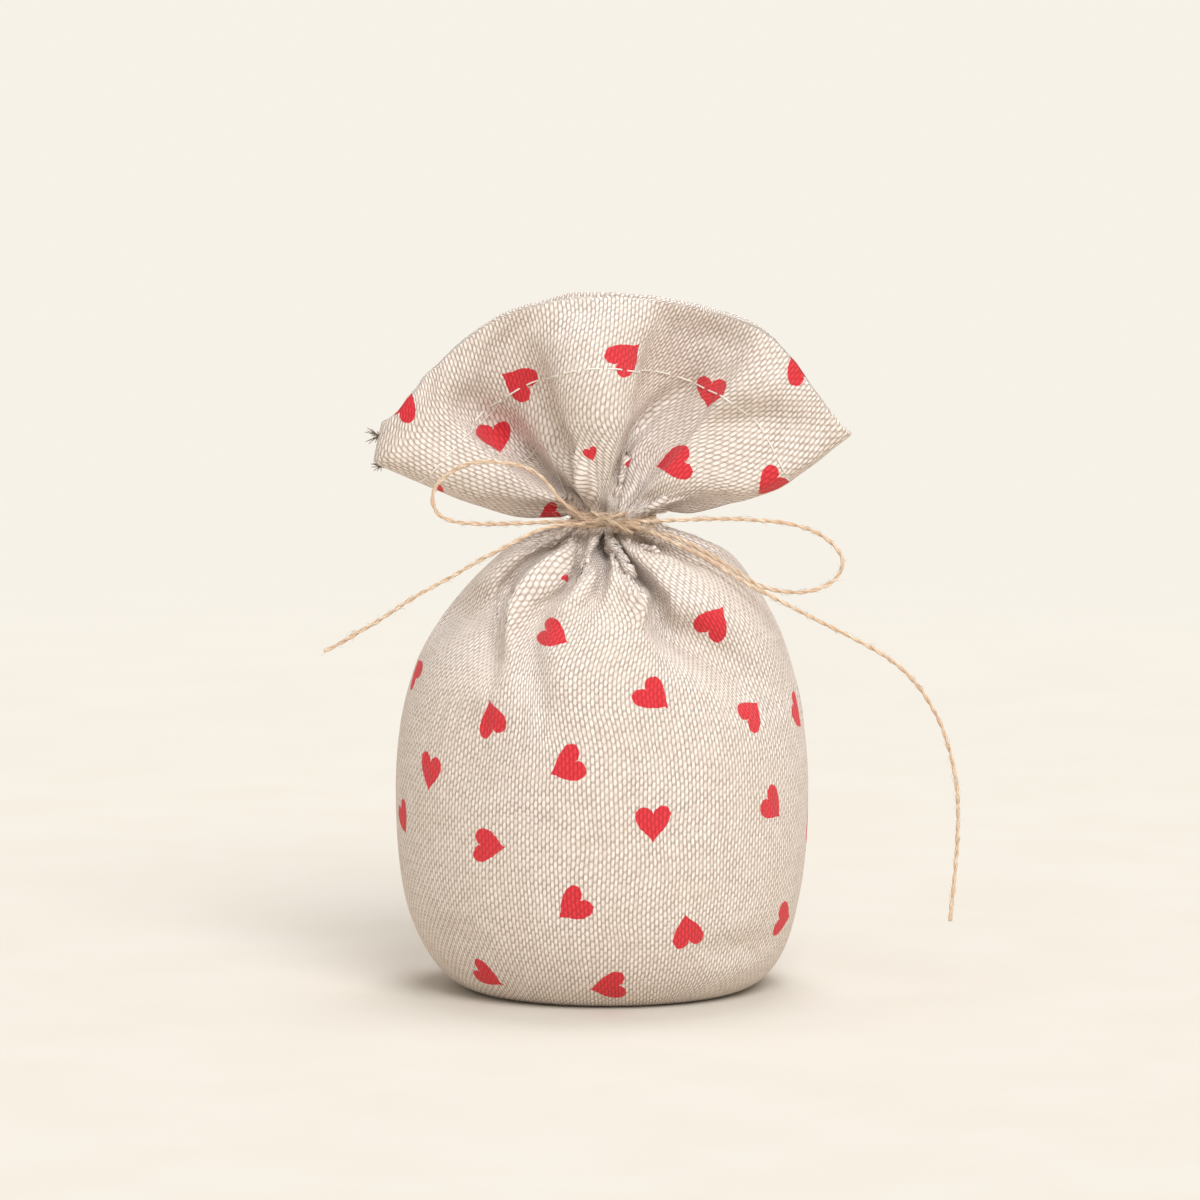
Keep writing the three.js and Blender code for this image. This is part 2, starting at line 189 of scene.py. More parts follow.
def frames_along(line):
    ahead = np.gradient(line, axis=0)
    ahead /= np.linalg.norm(ahead, axis=1, keepdims=True)
    start = np.cross(ahead[0], (0, 0, 1)) if abs(ahead[0][2]) < 0.9 else np.cross(ahead[0], (0, 1, 0))
    sides = [start / np.linalg.norm(start)]
    for direction in ahead[1:]:
        side = sides[-1] - direction * sides[-1].dot(direction)
        sides.append(side / np.linalg.norm(side))
    sides = np.array(sides)
    return ahead, sides, np.cross(ahead, sides)


def add_tube(bundle, line, radii, facets, mark=0.0):
    ahead, side, other = frames_along(line)
    turn = np.arange(facets) / facets * 2 * math.pi
    ring = np.cos(turn)[None, :, None] * side[:, None] + np.sin(turn)[None, :, None] * other[:, None]
    points = line[:, None] + ring * np.broadcast_to(radii, len(line))[:, None, None]
    first = sum(len(part) for part in bundle["points"])
    bundle["points"].append(points.reshape(-1, 3))
    run = lengths_along(line) * 1000
    for row in range(len(line) - 1):
        for facet in range(facets):
            across = (facet + 1) % facets
            low = first + row * facets
            high = low + facets
            bundle["faces"].append((low + facet, low + across, high + across, high + facet))
            left = mark + facet / facets
            right = mark + (facet + 1) / facets
            low_run, high_run = run[row:row + 2]
            bundle["marks"] += [(left, low_run), (right, low_run), (right, high_run), (left, high_run)]
    last = first + (len(line) - 1) * facets
    bundle["faces"].append(tuple(first + facet for facet in reversed(range(facets))))
    bundle["faces"].append(tuple(last + facet for facet in range(facets)))
    bundle["marks"] += [(mark, run[0])] * facets + [(mark, run[-1])] * facets


def add_hairs(bundle, line, count, reach, around):
    ahead, side, other = frames_along(line)
    for hair in range(count):
        place = hairs_by_chance.randint(len(line))
        turn = hairs_by_chance.uniform(0, 2 * math.pi)
        out = math.cos(turn) * side[place] + math.sin(turn) * other[place]
        way = ahead[place] * hairs_by_chance.choice([-1, 1])
        bend = np.cross(out, way) * hairs_by_chance.uniform(-0.5, 0.5)
        length = reach * hairs_by_chance.uniform(0.4, 1.0)
        lift = hairs_by_chance.uniform(0.1, 0.6)
        share = np.linspace(0, 1, 5)[:, None]
        rise = out * lift * length * share * (1.35 - 0.5 * share)
        lying = way * length * share * (1 - 0.25 * lift * share) + bend * length * share ** 2
        start = line[place] + out * around
        add_tube(bundle, start + rise + lying, hair_radii, 3, mark=hairs_by_chance.uniform(0, 3))


def add_twine(bundle, line, hairs_per_metre, reach=0.0022):
    ahead, side, other = frames_along(line)
    run = lengths_along(line)
    swell = 1 + 0.10 * np.sin(run * 900) * np.sin(run * 370 + 1)
    for ply in (0, 1):
        turn = 2 * math.pi * run / twist_pitch + ply * math.pi
        shift = np.cos(turn)[:, None] * side + np.sin(turn)[:, None] * other
        add_tube(bundle, line + shift * ply_offset, ply_radius * swell, 8, mark=ply * 1.7)
    add_hairs(bundle, line, round(run[-1] * hairs_per_metre), reach, hair_root)


def new_piece(name, points, faces, material, smooth=True):
    mesh = bpy.data.meshes.new(name)
    mesh.from_pydata(points.tolist(), [], faces)
    mesh.polygons.foreach_set("use_smooth", [smooth] * len(mesh.polygons))
    mesh.materials.append(material)
    piece = bpy.data.objects.new(name, mesh)
    scene.collection.objects.link(piece)
    return piece


def add_marks(piece, name, marks):
    uv_layer = piece.data.uv_layers.new(name=name)
    uv_layer.data.foreach_set("uv", marks.astype(np.float32).ravel())


def finish_bundle(name, bundle, body, material):
    piece = new_piece(name, np.vstack(bundle["points"]), bundle["faces"], material)
    add_marks(piece, "fibre", np.array(bundle["marks"], dtype=np.float32))
    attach(piece, body)
    return piece


def empty_bundle():
    return {"points": [], "faces": [], "marks": []}


strand_routes = {
    "left_loop": (
        (-7.5, -11.2, 96.9), (-10.5, -11.6, 99.5), (-13.5, -12, 103.3), (-16, -12.3, 105.3),
        (-18.7, -12.6, 106.4), (-22.5, -12.9, 107), (-26.5, -13, 107.1), (-30, -13, 106.2),
        (-32.7, -12.9, 104.6), (-34.7, -12.8, 102.7), (-35.7, -12.7, 100.5), (-35.5, -12.6, 98.2),
        (-34.3, -12.5, 96.4), (-31.8, -12.4, 95.2), (-28.4, -12.2, 94.7), (-23.5, -12, 94.6),
        (-18.5, -11.9, 94.7), (-13, -11.6, 94.9), (-7.5, -11.2, 94.9)),
    "right_loop": (
        (7.5, -11.2, 95), (13.5, -12, 95.4), (21.5, -12.5, 95.7), (27.5, -12.7, 95.5),
        (33.5, -12.7, 95), (37.5, -12.6, 94.1), (40.6, -12.5, 92.9), (43.2, -12.5, 91.1),
        (45, -12.5, 89.1), (45.7, -12.5, 87.2), (45.4, -12.5, 85.4), (44.4, -12.6, 83.8),
        (42.5, -12.7, 82.4), (39.8, -12.8, 81.4), (36.5, -12.9, 81), (32.5, -13, 81.4),
        (28.5, -13, 82.7), (22.9, -13.4, 86.4), (17.5, -13.5, 89.6), (12, -12.7, 92.2),
        (7.5, -11.2, 92.8)),
    "left_tail": (
        (-7.5, -12.9, 94.6), (-10, -13.7, 94.6), (-12.6, -14.4, 94.2), (-15.5, -15, 93.4),
        (-18.5, -15.5, 91.9), (-22.5, -15.9, 89.8), (-26, -16.1, 88), (-29.5, -16.1, 86),
        (-34.5, -15.9, 83.1), (-38, -15.7, 81.2), (-41.5, -15.4, 79), (-46.5, -14.7, 75.6),
        (-50, -14.1, 73.5), (-53.5, -13.6, 71.3), (-57.3, -13, 69.2)),
    "right_tail": (
        (7.5, -12.9, 93.2), (11.5, -14.1, 91.4), (17.5, -15.3, 88.8), (21.7, -15.9, 86.3),
        (25.9, -16.2, 83.6), (31.7, -16.1, 80.5), (37.5, -15.8, 77.4), (42.5, -15.2, 74.8),
        (47.5, -14.4, 72.2), (51.6, -13.6, 69.9), (55.5, -12.8, 67.3), (58.8, -12, 64.4),
        (61.6, -11.2, 61), (63.8, -10.6, 57.4), (65.6, -10, 53.8), (67.1, -9.4, 49.2),
        (68.2, -9, 44.6), (68.8, -8.7, 40.6), (69, -8.5, 36.6), (68.9, -8.2, 30.5),
        (68.5, -8, 24.5), (68, -8, 19.2), (67.5, -8, 14.2)),
}

for strand, route in strand_routes.items():
    line = smooth_line(np.array(route) / 1000, route_step)
    bundle = empty_bundle()
    add_twine(bundle, line, 1500, 0.0017)
    piece = finish_bundle(strand + "_twine", bundle, strand, jute)
    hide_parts(strand)
    length = float(np.linalg.norm(np.diff(line, axis=0), axis=1).sum())


# Neck wrap and bow knot. The same twine goes twice round the gathered neck, and is tied in front in a bow.
# In the knot its strands lie side by side, with one of them drawn round them, in a cloud of loose fibre.
neck_height = 94.4
wrap_radius = 8.445
wrap_turns = 2
wrap_pitch = 1.7
wrap_points = 420

share = np.linspace(0, 1, wrap_points)
turn = -math.pi / 2 + 2 * math.pi * wrap_turns * share
wrap_line = np.stack([
    wrap_radius * np.cos(turn),
    wrap_radius * np.sin(turn),
    neck_height + wrap_pitch * wrap_turns * (share - 0.5)], 1) / 1000
neck_bundle = empty_bundle()
add_twine(neck_bundle, wrap_line, 1800, 0.0018)
neck_twine = finish_bundle("neck_wrap_twine", neck_bundle, "pouch", jute)
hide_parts("neck_wrap")

knot_strands = (
    ((-9.5, -11.4, 98.6), (-7.5, -11.2, 96.9), (-5, -11.4, 95.9), (-2, -11.6, 95.6), (1.5, -11.5, 95.3),
     (5, -11.3, 95.1), (7.5, -11.2, 95.0), (9.5, -11.4, 95.1)),
    ((-9.5, -11.3, 94.9), (-7.5, -11.2, 94.9), (-4, -11.4, 94.8), (-0.5, -11.6, 94.4), (3, -11.5, 93.9),
     (6, -11.3, 93.2), (7.5, -11.2, 92.8), (9.5, -11.8, 92.4)),
    ((-9.5, -13.5, 94.6), (-7.5, -12.9, 94.6), (-5, -12.6, 94.9), (-2.5, -12.9, 95.6), (0, -13.1, 96.1),
     (1.6, -12.4, 96.6), (2.2, -11.0, 96.4), (2.0, -10.2, 95.4)),
    ((9.5, -13.5, 92.3), (7.5, -12.9, 93.2), (5, -12.7, 93.9), (2, -12.8, 94.5), (-1, -12.9, 94.9),
     (-4, -12.5, 95.3), (-6.2, -11.9, 95.9), (-7.4, -11.0, 96.6)),
    ((-4.6, -10.3, 96.2), (-4.0, -11.8, 96.8), (-2.4, -13.0, 96.3), (-0.4, -13.5, 95.3), (1.8, -13.4, 94.2),
     (3.4, -12.7, 93.2), (4.0, -11.4, 92.9), (3.6, -10.2, 93.4)),
    ((5.5, -12.2, 94.6), (3.5, -12.5, 94.9), (1.0, -12.9, 95.3), (-1.5, -12.6, 95.0), (-4.2, -12.3, 94.3),
     (-6.8, -11.8, 94.0)),
)
knot_bundle = empty_bundle()
for strand in knot_strands:
    add_twine(knot_bundle, smooth_line(np.array(strand) / 1000, 0.0003), 7000, 0.0046)
knot_twine = finish_bundle("bow_knot_twine", knot_bundle, "pouch", jute)
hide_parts("bow_knot")


# Cloth. Oatmeal linen and cotton in a half-panama weave, printed with small hearts: a front and a back,
# each cut 129 mm wide, sewn at the sides and under the base. It is filled, gathered in the tie, and stands
# up above it as a fan. How it hangs is worked out on a net of threads that keep their length.
panel_width = 129.0
columns = 160
half = columns // 2
belly_radius = panel_width / math.pi
base_radius = 24.0
foot_fullness = 2 / 2.4
belly_height = 40.0
crown_height = 91.6
neck_radius = 7.3
header_length = 46.0
hem_depth = 15.0
row_step = 2.0
cloth_thickness = 0.7
body_lean = -2.1
foot_lean = -1.2
deepest_pleat = 5.0
gathered_share = 0.46
back_rim_rise = 1.3
fan_edge_depth = 0.6
fan_middle_depth = 3.4


def lengths_on_plane(line):
    return np.concatenate([[0], np.cumsum(np.hypot(*np.diff(line, axis=0).T))])


def ease(value, low, high):
    share = np.clip((np.asarray(value, float) - low) / (high - low), 0, 1)
    return share * share * (3 - 2 * share)


def waved(places, heights, value):
    place = np.clip(np.searchsorted(places, value) - 1, 0, len(places) - 2)
    share = ease(value, places[place], places[place + 1])
    return heights[place] * (1 - share) + heights[place + 1] * share


profile = []
for angle in np.linspace(0, math.pi / 2, 41):
    reach = math.sin(angle) ** foot_fullness
    profile.append((base_radius + (belly_radius - base_radius) * reach,
                    belly_height * (1 - math.cos(angle) ** foot_fullness)))
for angle in np.radians(np.linspace(2, 80, 40)):
    profile.append((neck_radius + (belly_radius - neck_radius) * math.cos(angle),
                    belly_height + (crown_height - belly_height) * math.sin(angle)))
profile += [(neck_radius + 1.2, crown_height + 0.6), (neck_radius + 0.2, crown_height + 1.6)]
profile = np.array(profile + [(neck_radius, neck_height)])
profile_run = lengths_on_plane(profile)
wall_length = profile_run[-1]
wall_rows = round(wall_length / row_step)
header_rows = round(header_length / row_step)
rows = wall_rows + 1 + header_rows
wall_places = np.linspace(0, wall_length, wall_rows + 1)
header_places = np.linspace(0, header_length, header_rows + 1)[1:]
across = np.arange(columns) / columns * 2 * panel_width
cloth_angle = np.degrees(across / belly_radius) - 90

# Each pleat: its place on the cloth in degrees, its angle at six heights up to the tie, and its depth.
pleat_heights = np.array((68, 78, 82, 86, 90, 94))
pleats = (
    (-50, (-45, -42, -41, -35, -42, -60), 0.7), (-29, (-29, -31, -22, -14, -24, -42), 0.5),
    (-10, (-10, -9, -4, -1, -5, -14), 0.5), (14, (14, 15, 16, 10, 5, 4), 0.6),
    (50, (50, 54, 56, 48, 30, 26), 0.4), (84, (84, 83, 81, 78, 75, 72), 0.4),
    (114, (114, 112, 110, 108, 105, 104), 0.7), (140, (140, 138, 136, 134, 133, 132), 0.8),
    (165, (165, 164, 163, 162, 161, 160), 0.8), (190, (190, 190, 189, 189, 188, 188), 0.9),
    (214, (214, 214, 213, 213, 212, 212), 0.7), (240, (240, 240, 239, 239, 238, 238), 0.8),
    (268, (268, 267, 266, 265, 264, 263), 0.5),
)
pleat_cloth = np.array([pleat[0] for pleat in pleats], float)
pleat_depths = np.array([pleat[2] for pleat in pleats])


def gathered_angle(height):
    there = np.array([np.interp(height, pleat_heights, pleat[1]) for pleat in pleats])
    there = pleat_cloth + (there - pleat_cloth) * ease(height, 60, 74)
    places = np.concatenate([pleat_cloth - 360, pleat_cloth, pleat_cloth + 360])
    return np.interp(cloth_angle, places, np.concatenate([there - 360, there, there + 360]))


def pleat_shape(width):
    away = (cloth_angle[None] - pleat_cloth[:, None] + 180) % 360 - 180
    return (pleat_depths[:, None] * np.exp(-(np.abs(away) / width) ** 1.3)).max(0)


# The fan above the tie, in mm from the tie's middle line: its rim from the left corner to the right one,
# the two side seams from the tie to the corners, and how far its folds stand forward and back.
fan_rim = np.array([
    (-46.2, 113.0), (-38.5, 121.0), (-32.5, 127.0), (-26.5, 131.7), (-18.5, 136.3), (-10.5, 138.4),
    (1.5, 139.2), (17.5, 137.4), (27.5, 133.4), (33.5, 129.4), (37.5, 124.3), (43.5, 116.3), (47.5, 110.1)])
left_seam = np.array([
    (-7.0, 93.5), (-14.0, 92.6), (-20.0, 94.2), (-30.0, 98.9), (-38.0, 102.2), (-47.3, 105.4),
    (-46.2, 113.0)])
right_seam = np.array([
    (7.0, 95.0), (14.0, 94.8), (21.5, 96.9), (33.5, 100.4), (41.5, 105.4), (47.5, 110.1)])
tie_middle = np.array((0, neck_height))
fold_places = np.array((0, 0.08, 0.18, 0.31, 0.41, 0.53, 0.69, 0.81, 0.93, 1.0))
front_folds = np.array((0, -1.0, 4.0, -3.0, -2.0, -1.4, 1.6, -1.6, -1.0, 0))
back_folds = np.array((0, 1.0, 0, 3.0, 0.5, 3.5, 0, 3.0, 0.5, 0))
rim_wave_places = np.array((0, 0.14, 0.28, 0.44, 0.56, 0.67, 0.81, 1.0))
rim_waves = np.array((0, 1.1, -1.3, -0.4, -0.7, 1.1, -0.9, 0))


def on_line(points, share):
    run = lengths_on_plane(points)
    places = np.asarray(share) * run[-1]
    return np.stack([np.interp(places, run, points[:, 0]), np.interp(places, run, points[:, 1])], -1)


front_share = np.where(across <= panel_width, across, 2 * panel_width - across) / panel_width
layer = np.where(across <= panel_width, -1.0, 1.0)
sideways = 2 * front_share - 1
cloth = np.zeros((rows, columns, 3))
cloth_radius = np.zeros(rows)
cloth_run = np.concatenate([wall_places, wall_length + header_places])
hold = np.zeros((rows, columns))
swell = np.zeros((rows, 1))
free = np.ones((rows, columns))
wall_height = np.interp(wall_places, profile_run, profile[:, 1])
wall_radius = np.interp(wall_places, profile_run, profile[:, 0])
for row in range(wall_rows + 1):
    height = wall_height[row]
    angle = np.radians(gathered_angle(height))
    depth = ease(height, 64, 90) * min(deepest_pleat, wall_radius[row] * 0.6)
    radius = wall_radius[row] - depth * pleat_shape(6 + 8 * (1 - ease(height, 62, 93))) + 0.12 * depth
    off_foot = ease(height, 0, 20)
    lean = body_lean * off_foot * (1 - ease(height, 66, 92)) + foot_lean * (1 - off_foot)
    level = np.full(columns, height)
    cloth[row] = np.stack([radius * np.sin(angle) + lean, -radius * np.cos(angle), level], 1)
    drawn_in = 1 - gathered_share * ease(height, 54, 90)
    cloth_radius[row] = wall_radius[row] if height < belly_height else belly_radius * drawn_in
    front = np.cos(angle).clip(0, 1)
    held_low = 0.25 * (1 - ease(height, 30, 72))
    hold[row] = 1.0 if row < 2 else held_low + 0.006 + 0.02 * front * ease(height, 74, 90)
    swell[row] = 1 - ease(height, 86, 91)
    free[row] = 0 if height > 93 else 1
for row in range(wall_rows + 1, rows):
    away = header_places[row - wall_rows - 1]
    share = away / header_length
    rim = on_line(fan_rim, front_share)
    ray = tie_middle + (rim - tie_middle) * share
    left = on_line(left_seam, share) - (tie_middle + (fan_rim[0] - tie_middle) * share)
    right = on_line(right_seam, share) - (tie_middle + (fan_rim[-1] - tie_middle) * share)
    ray = ray + ease(-sideways, 0.35, 1)[:, None] * left + ease(sideways, 0.35, 1)[:, None] * right
    bulge = np.sin(math.pi * front_share)
    ray[:, 1] += np.where(layer > 0, back_rim_rise * bulge * ease(away, 20, 46), 0)
    folds = np.where(layer > 0, waved(fold_places, back_folds, front_share),
                     waved(fold_places, front_folds, front_share))
    folds = folds * ease(away, 3, 20) * (1 - ease(away, 22, 46))
    folds = folds + waved(rim_wave_places, rim_waves, front_share) * ease(away, 20, 46)
    depth = layer * (fan_edge_depth + fan_middle_depth * bulge * ease(away, 6, 46)) + folds
    fan = np.stack([ray[:, 0], depth, ray[:, 1]], 1)
    angle = np.radians(gathered_angle(neck_height))
    radius = neck_radius - 0.6 * neck_radius * pleat_shape(6) + 0.3
    level = np.full(columns, neck_height + away)
    bunch = np.stack([radius * np.sin(angle), -radius * np.cos(angle), level], 1)
    opened = ease(away, 0.5, 9)
    cloth[row] = bunch * (1 - opened) + fan * opened
    cloth_radius[row] = belly_radius * (1 - 0.55 * (1 - ease(away, 0, 32)) - 0.10 * ease(away, 20, 46))
    seam = ease(np.abs(sideways), 0.90, 1.0)
    hold[row] = 0.006 * ease(away, 25, 46) + 0.06 * ease(away, 42, 47) + 0.25 * seam * ease(away, 5, 20)
    free[row] = 0 if away < 1.1 else 1

# The net: threads across and up, slanted ones against shear, and long ones against creasing. Its threads are
# mended in two colours, so that no two of one colour share a point.
number = np.arange(rows * columns).reshape(rows, columns)
thread_step = cloth_radius * 2 * math.pi / columns
stiff = np.full((rows, 1), 0.5)
stiff_far = np.full((rows, 1), 0.25)
stiff[-round(hem_depth / row_step):] = 0.8
stiff_far[-round(hem_depth / row_step):] = 0.6
near_tie = ease(np.abs(cloth_run - wall_length), 4, 16)[:, None]
stiff_far = stiff_far * near_tie
stiff_long = np.zeros((rows, 1))
stiff_long[wall_rows + 10:] = 0.35
threads = []


def add_threads(starts, ends, length, strength):
    length = np.broadcast_to(length, starts.shape).ravel()
    strength = np.broadcast_to(strength, starts.shape).ravel()
    threads.append((starts.ravel(), ends.ravel(), length, strength))


for colour in (0, 1):
    add_threads(number[:, colour::2], np.roll(number, -1, 1)[:, colour::2], thread_step[:, None], 1.0)
    upward = np.diff(cloth_run)[colour::2][:, None]
    add_threads(number[colour:-1:2], number[1:][colour::2], upward, 1.0)
    slant = np.hypot(upward, (0.5 * (thread_step[:-1] + thread_step[1:]))[colour::2][:, None])
    for side in (1, -1):
        add_threads(number[colour:-1:2], np.roll(number, -side, 1)[1:][colour::2], slant, 0.35)
    for span, strength in ((2, stiff), (4, stiff_far), (8, stiff_long)):
        picked = (np.arange(columns) // span) % 2 == colour
        ends = np.roll(number, -span, 1)[:, picked]
        add_threads(number[:, picked], ends, span * thread_step[:, None], strength)
        low = np.array([row for row in range(rows - span) if (row // span) % 2 == colour])
        upward = cloth_run[low + span] - cloth_run[low]
        add_threads(number[low], number[low + span], upward[:, None], strength[low])


def cloth_normals(net):
    sideward = np.roll(net, -1, 1) - np.roll(net, 1, 1)
    upward = np.gradient(net, axis=0)
    normals = np.cross(sideward, upward)
    return normals / (np.linalg.norm(normals, axis=2, keepdims=True) + 1e-9)


# The net is let go, blown out a little from inside, and its threads are mended at each moment. The wall stays
# near the pouch's round shape, and the front and the back of the fan don't pass through each other.
moments = 420
kept_speed = 0.9
blown_out = 0.03
deepest_fold = 7.0
highest_fold = 2.4
layer_gap = 1.0
points = cloth.reshape(-1, 3).copy()
before = points.copy()
goals = cloth.reshape(-1, 3).copy()
weight = free.ravel()
pull = (hold.ravel() * weight)[:, None]
for moment in range(moments):
    speed = (points - before) * kept_speed
    before = points.copy()
    points = points + speed * weight[:, None]
    points += (goals - points) * pull
    if moment % 4 == 0:
        normals = cloth_normals(points.reshape(rows, columns, 3))
        outward = (normals * (swell * blown_out)[:, :, None]).reshape(-1, 3) * weight[:, None]
    points += outward
    for starts, ends, length, strength in threads:
        gap = points[ends] - points[starts]
        reach = np.sqrt((gap * gap).sum(1)) + 1e-9
        first = weight[starts]
        second = weight[ends]
        both = np.maximum(first + second, 1e-6)
        mend = (strength * (reach - length) / reach / both)[:, None] * gap
        points[starts] += mend * first[:, None]
        points[ends] -= mend * second[:, None]
    net = points.reshape(rows, columns, 3)
    wall = net[:wall_rows + 1]
    radius = np.hypot(wall[:, :, 0], wall[:, :, 1])
    full = np.interp(np.clip(wall[:, :, 2], 0, crown_height), profile[:, 1], profile[:, 0])
    kept = np.clip(radius, full - np.minimum(deepest_fold, full * 0.75), full + highest_fold)
    wall[:, :, :2] *= (kept / np.maximum(radius, 1e-6))[:, :, None]
    header = net[wall_rows + 1:]
    crossed = np.maximum(0, header[:, 1:half, 1] - header[:, :half:-1, 1] + layer_gap) * 0.5
    header[:, 1:half, 1] -= crossed
    header[:, :half:-1, 1] += crossed
cloth = points.reshape(rows, columns, 3)


# The net is then made twice as fine, along curves through its points.
def doubled(values, around):
    before = np.roll(values, 1, 0)
    after = np.roll(values, -1, 0)
    beyond = np.roll(values, -2, 0)
    middle = (9 * (values + after) - before - beyond) / 16
    if not around:
        middle[0] = (values[0] + values[1]) / 2
        middle[-2] = (values[-2] + values[-1]) / 2
    finer = np.stack([values, middle], 1).reshape(-1, *values.shape[1:])
    return finer if around else finer[:-1]


cloth = doubled(cloth, False)
cloth = doubled(cloth.swapaxes(0, 1), True).swapaxes(0, 1)
tie_row = 2 * wall_rows
rows = 2 * rows - 1
columns = 2 * columns
half = 2 * half
row_step = row_step / 2
across = np.arange(columns) / columns * 2 * panel_width
layer = np.where(across <= panel_width, -1.0, 1.0)


def in_picture(places):
    away = places / 1000 - np.array(view_middle)
    nearer = view_distance / (view_distance - away @ camera_way)
    scale = picture_size / view_width
    middle = picture_size / 2
    right = middle + away[..., 0] * nearer * scale
    down = middle - away @ view_up * nearer * scale
    return np.stack([right, down], -1)


# The larger folds on the front. Each is a line, and each of its points has a place in pixels, a depth in mm
# (inwards where negative) and a width in pixels. In the laps, the third value is how far the cloth is pushed
# over its neighbour, to the left of a line that runs down, in mm.
body_folds = (
    ((578, 533, -3.0, 6), (557, 546, -5.0, 8), (534, 560, -6.5, 9), (514, 581, -7.5, 10),
     (503, 602, -6.0, 10), (499, 624, -4.0, 10), (495, 655, -2.4, 10), (490, 695, 0, 9)),
    ((572, 548, 0.8, 8), (552, 563, 1.6, 10), (532, 584, 2.2, 10), (519, 606, 2.4, 11), (512, 634, 2.0, 12),
     (508, 665, 1.4, 12), (505, 700, 0.7, 12), (503, 730, 0, 12)),
    ((581, 545, -2.2, 5), (579, 560, -4.0, 5), (573, 574, -5.0, 6), (563, 589, -5.2, 8),
     (548, 602, -4.2, 9), (536, 618, -3.0, 11), (530, 642, -2.6, 13), (533, 672, -2.4, 15),
     (545, 712, -1.4, 16), (560, 750, 0, 16)),
    ((592, 575, 1.2, 8), (578, 594, 2.0, 10), (562, 610, 1.6, 10), (548, 622, 0, 10)),
    ((600, 548, -2.4, 5), (592, 562, -2.4, 7), (582, 576, -1.4, 7), (572, 586, 0, 7)),
    ((605, 540, -3.0, 5), (605, 558, -4.2, 5), (603, 574, -4.2, 5.5), (599, 590, -3.4, 6),
     (592, 604, -1.6, 7), (578, 614, 0, 7)),
    ((609, 536, -2.4, 5), (618, 556, -4.4, 6), (626, 570, -5.4, 7), (636, 580, -6.0, 8),
     (648, 590, -6.4, 9), (655, 602, -8.0, 11), (656, 616, -8.0, 13), (668, 628, -6.8, 15),
     (690, 641, -5.2, 18), (720, 660, -3.4, 20), (750, 690, -1.6, 20), (775, 712, 0, 18)),
    ((628, 590, 1.8, 8), (637, 600, 3.0, 8), (639, 614, 2.4, 9), (641, 632, 1.2, 10), (642, 655, 0, 10)),
    ((670, 585, 0, 20), (700, 600, 1.6, 24), (740, 630, 1.6, 24), (770, 670, 0.8, 20), (785, 700, 0, 20)),
    ((505, 590, -2.0, 12), (486, 600, -3.6, 14), (462, 612, -3.4, 15), (438, 628, -2.0, 14),
     (420, 645, 0, 12)),
    ((545, 545, 0.4, 9), (512, 560, 1.0, 12), (480, 576, 1.0, 13), (452, 594, 0.8, 13), (430, 612, 0, 10)),
    ((500, 600, 0, 20), (490, 622, -2.4, 24), (484, 655, -1.8, 24), (476, 690, 0, 20)),
    ((664, 606, 0, 24), (694, 628, -1.8, 30), (726, 654, -2.2, 30), (756, 684, -1.4, 28), (780, 715, 0, 24)),
    ((470, 700, 0, 20), (476, 730, -0.8, 24), (470, 770, -0.8, 24), (460, 810, 0, 20)),
    ((630, 536, -2.4, 5), (650, 545, -2.8, 7), (672, 552, -1.8, 7), (700, 560, 0, 6)),
    ((680, 540, 0, 12), (700, 550, -0.8, 13), (727, 566, -0.8, 13), (755, 584, -0.5, 13), (775, 596, 0, 12)),
    ((690, 945, 0, 14), (715, 950, -1.2, 14), (750, 946, -1.2, 14), (790, 925, 0, 14)),
    ((420, 905, 0, 16), (455, 935, -0.8, 16), (500, 950, 0, 16)),
)
body_laps = (
    ((574, 546, 0.8, 7), (553, 561, 1.8, 8), (533, 580, 2.6, 9), (519, 602, 2.6, 9), (511, 630, 1.4, 10),
     (506, 662, 0, 10)),
    ((577, 552, -0.6, 5), (571, 566, -1.2, 6), (560, 582, -1.4, 7), (546, 596, -0.8, 7), (535, 606, 0, 7)),
    ((600, 556, -0.4, 4), (601, 572, -0.8, 5), (597, 588, -0.5, 5), (590, 600, 0, 6)),
    ((612, 552, -0.6, 5), (621, 570, -1.2, 6), (632, 584, -1.8, 7), (640, 596, -2.4, 8),
     (640, 612, -1.8, 8), (641, 632, 0, 9)),
)
fan_folds = (
    ((440, 390, -1.0, 16), (468, 406, -4.0, 20), (500, 430, -7.0, 20), (532, 456, -7.5, 18),
     (552, 476, -4.5, 13), (566, 492, -2.5, 9), (576, 508, -1.0, 7)),
    ((500, 350, 0, 20), (524, 392, 1.2, 18), (550, 425, 2.4, 14), (572, 452, 2.8, 11), (588, 480, 2.2, 8),
     (598, 504, 0.6, 6)),
    ((700, 372, -0.5, 12), (682, 392, -2.4, 10), (660, 405, -3.6, 8), (642, 425, -4.8, 7),
     (629, 448, -5.6, 6.5), (620, 472, -5.6, 6), (614, 495, -3.0, 5)),
    ((712, 395, 0.8, 10), (690, 420, 1.6, 11), (664, 448, 1.8, 10), (640, 478, 1.4, 8), (624, 504, 0.4, 6)),
    ((690, 318, -0.8, 14), (706, 328, -2.2, 18), (735, 338, -2.2, 18), (768, 352, -1.0, 14),
     (790, 364, 0, 12)),
    ((634, 508, -1.0, 8), (652, 502, -2.4, 10), (674, 496, -2.2, 12), (704, 492, -1.0, 12),
     (732, 494, 0, 12)),
)
fan_laps = (
    ((520, 410, 0, 12), (545, 438, 2.0, 12), (566, 462, 3.2, 11), (582, 484, 2.8, 8), (592, 506, 0.6, 6)),
    ((648, 425, 0, 6), (636, 448, 0.9, 6), (628, 470, 1.2, 6), (620, 494, 0.4, 5)),
)


# Pressing the folds in is done in steps, because each one moves the cloth in the picture.
press_turns = 3


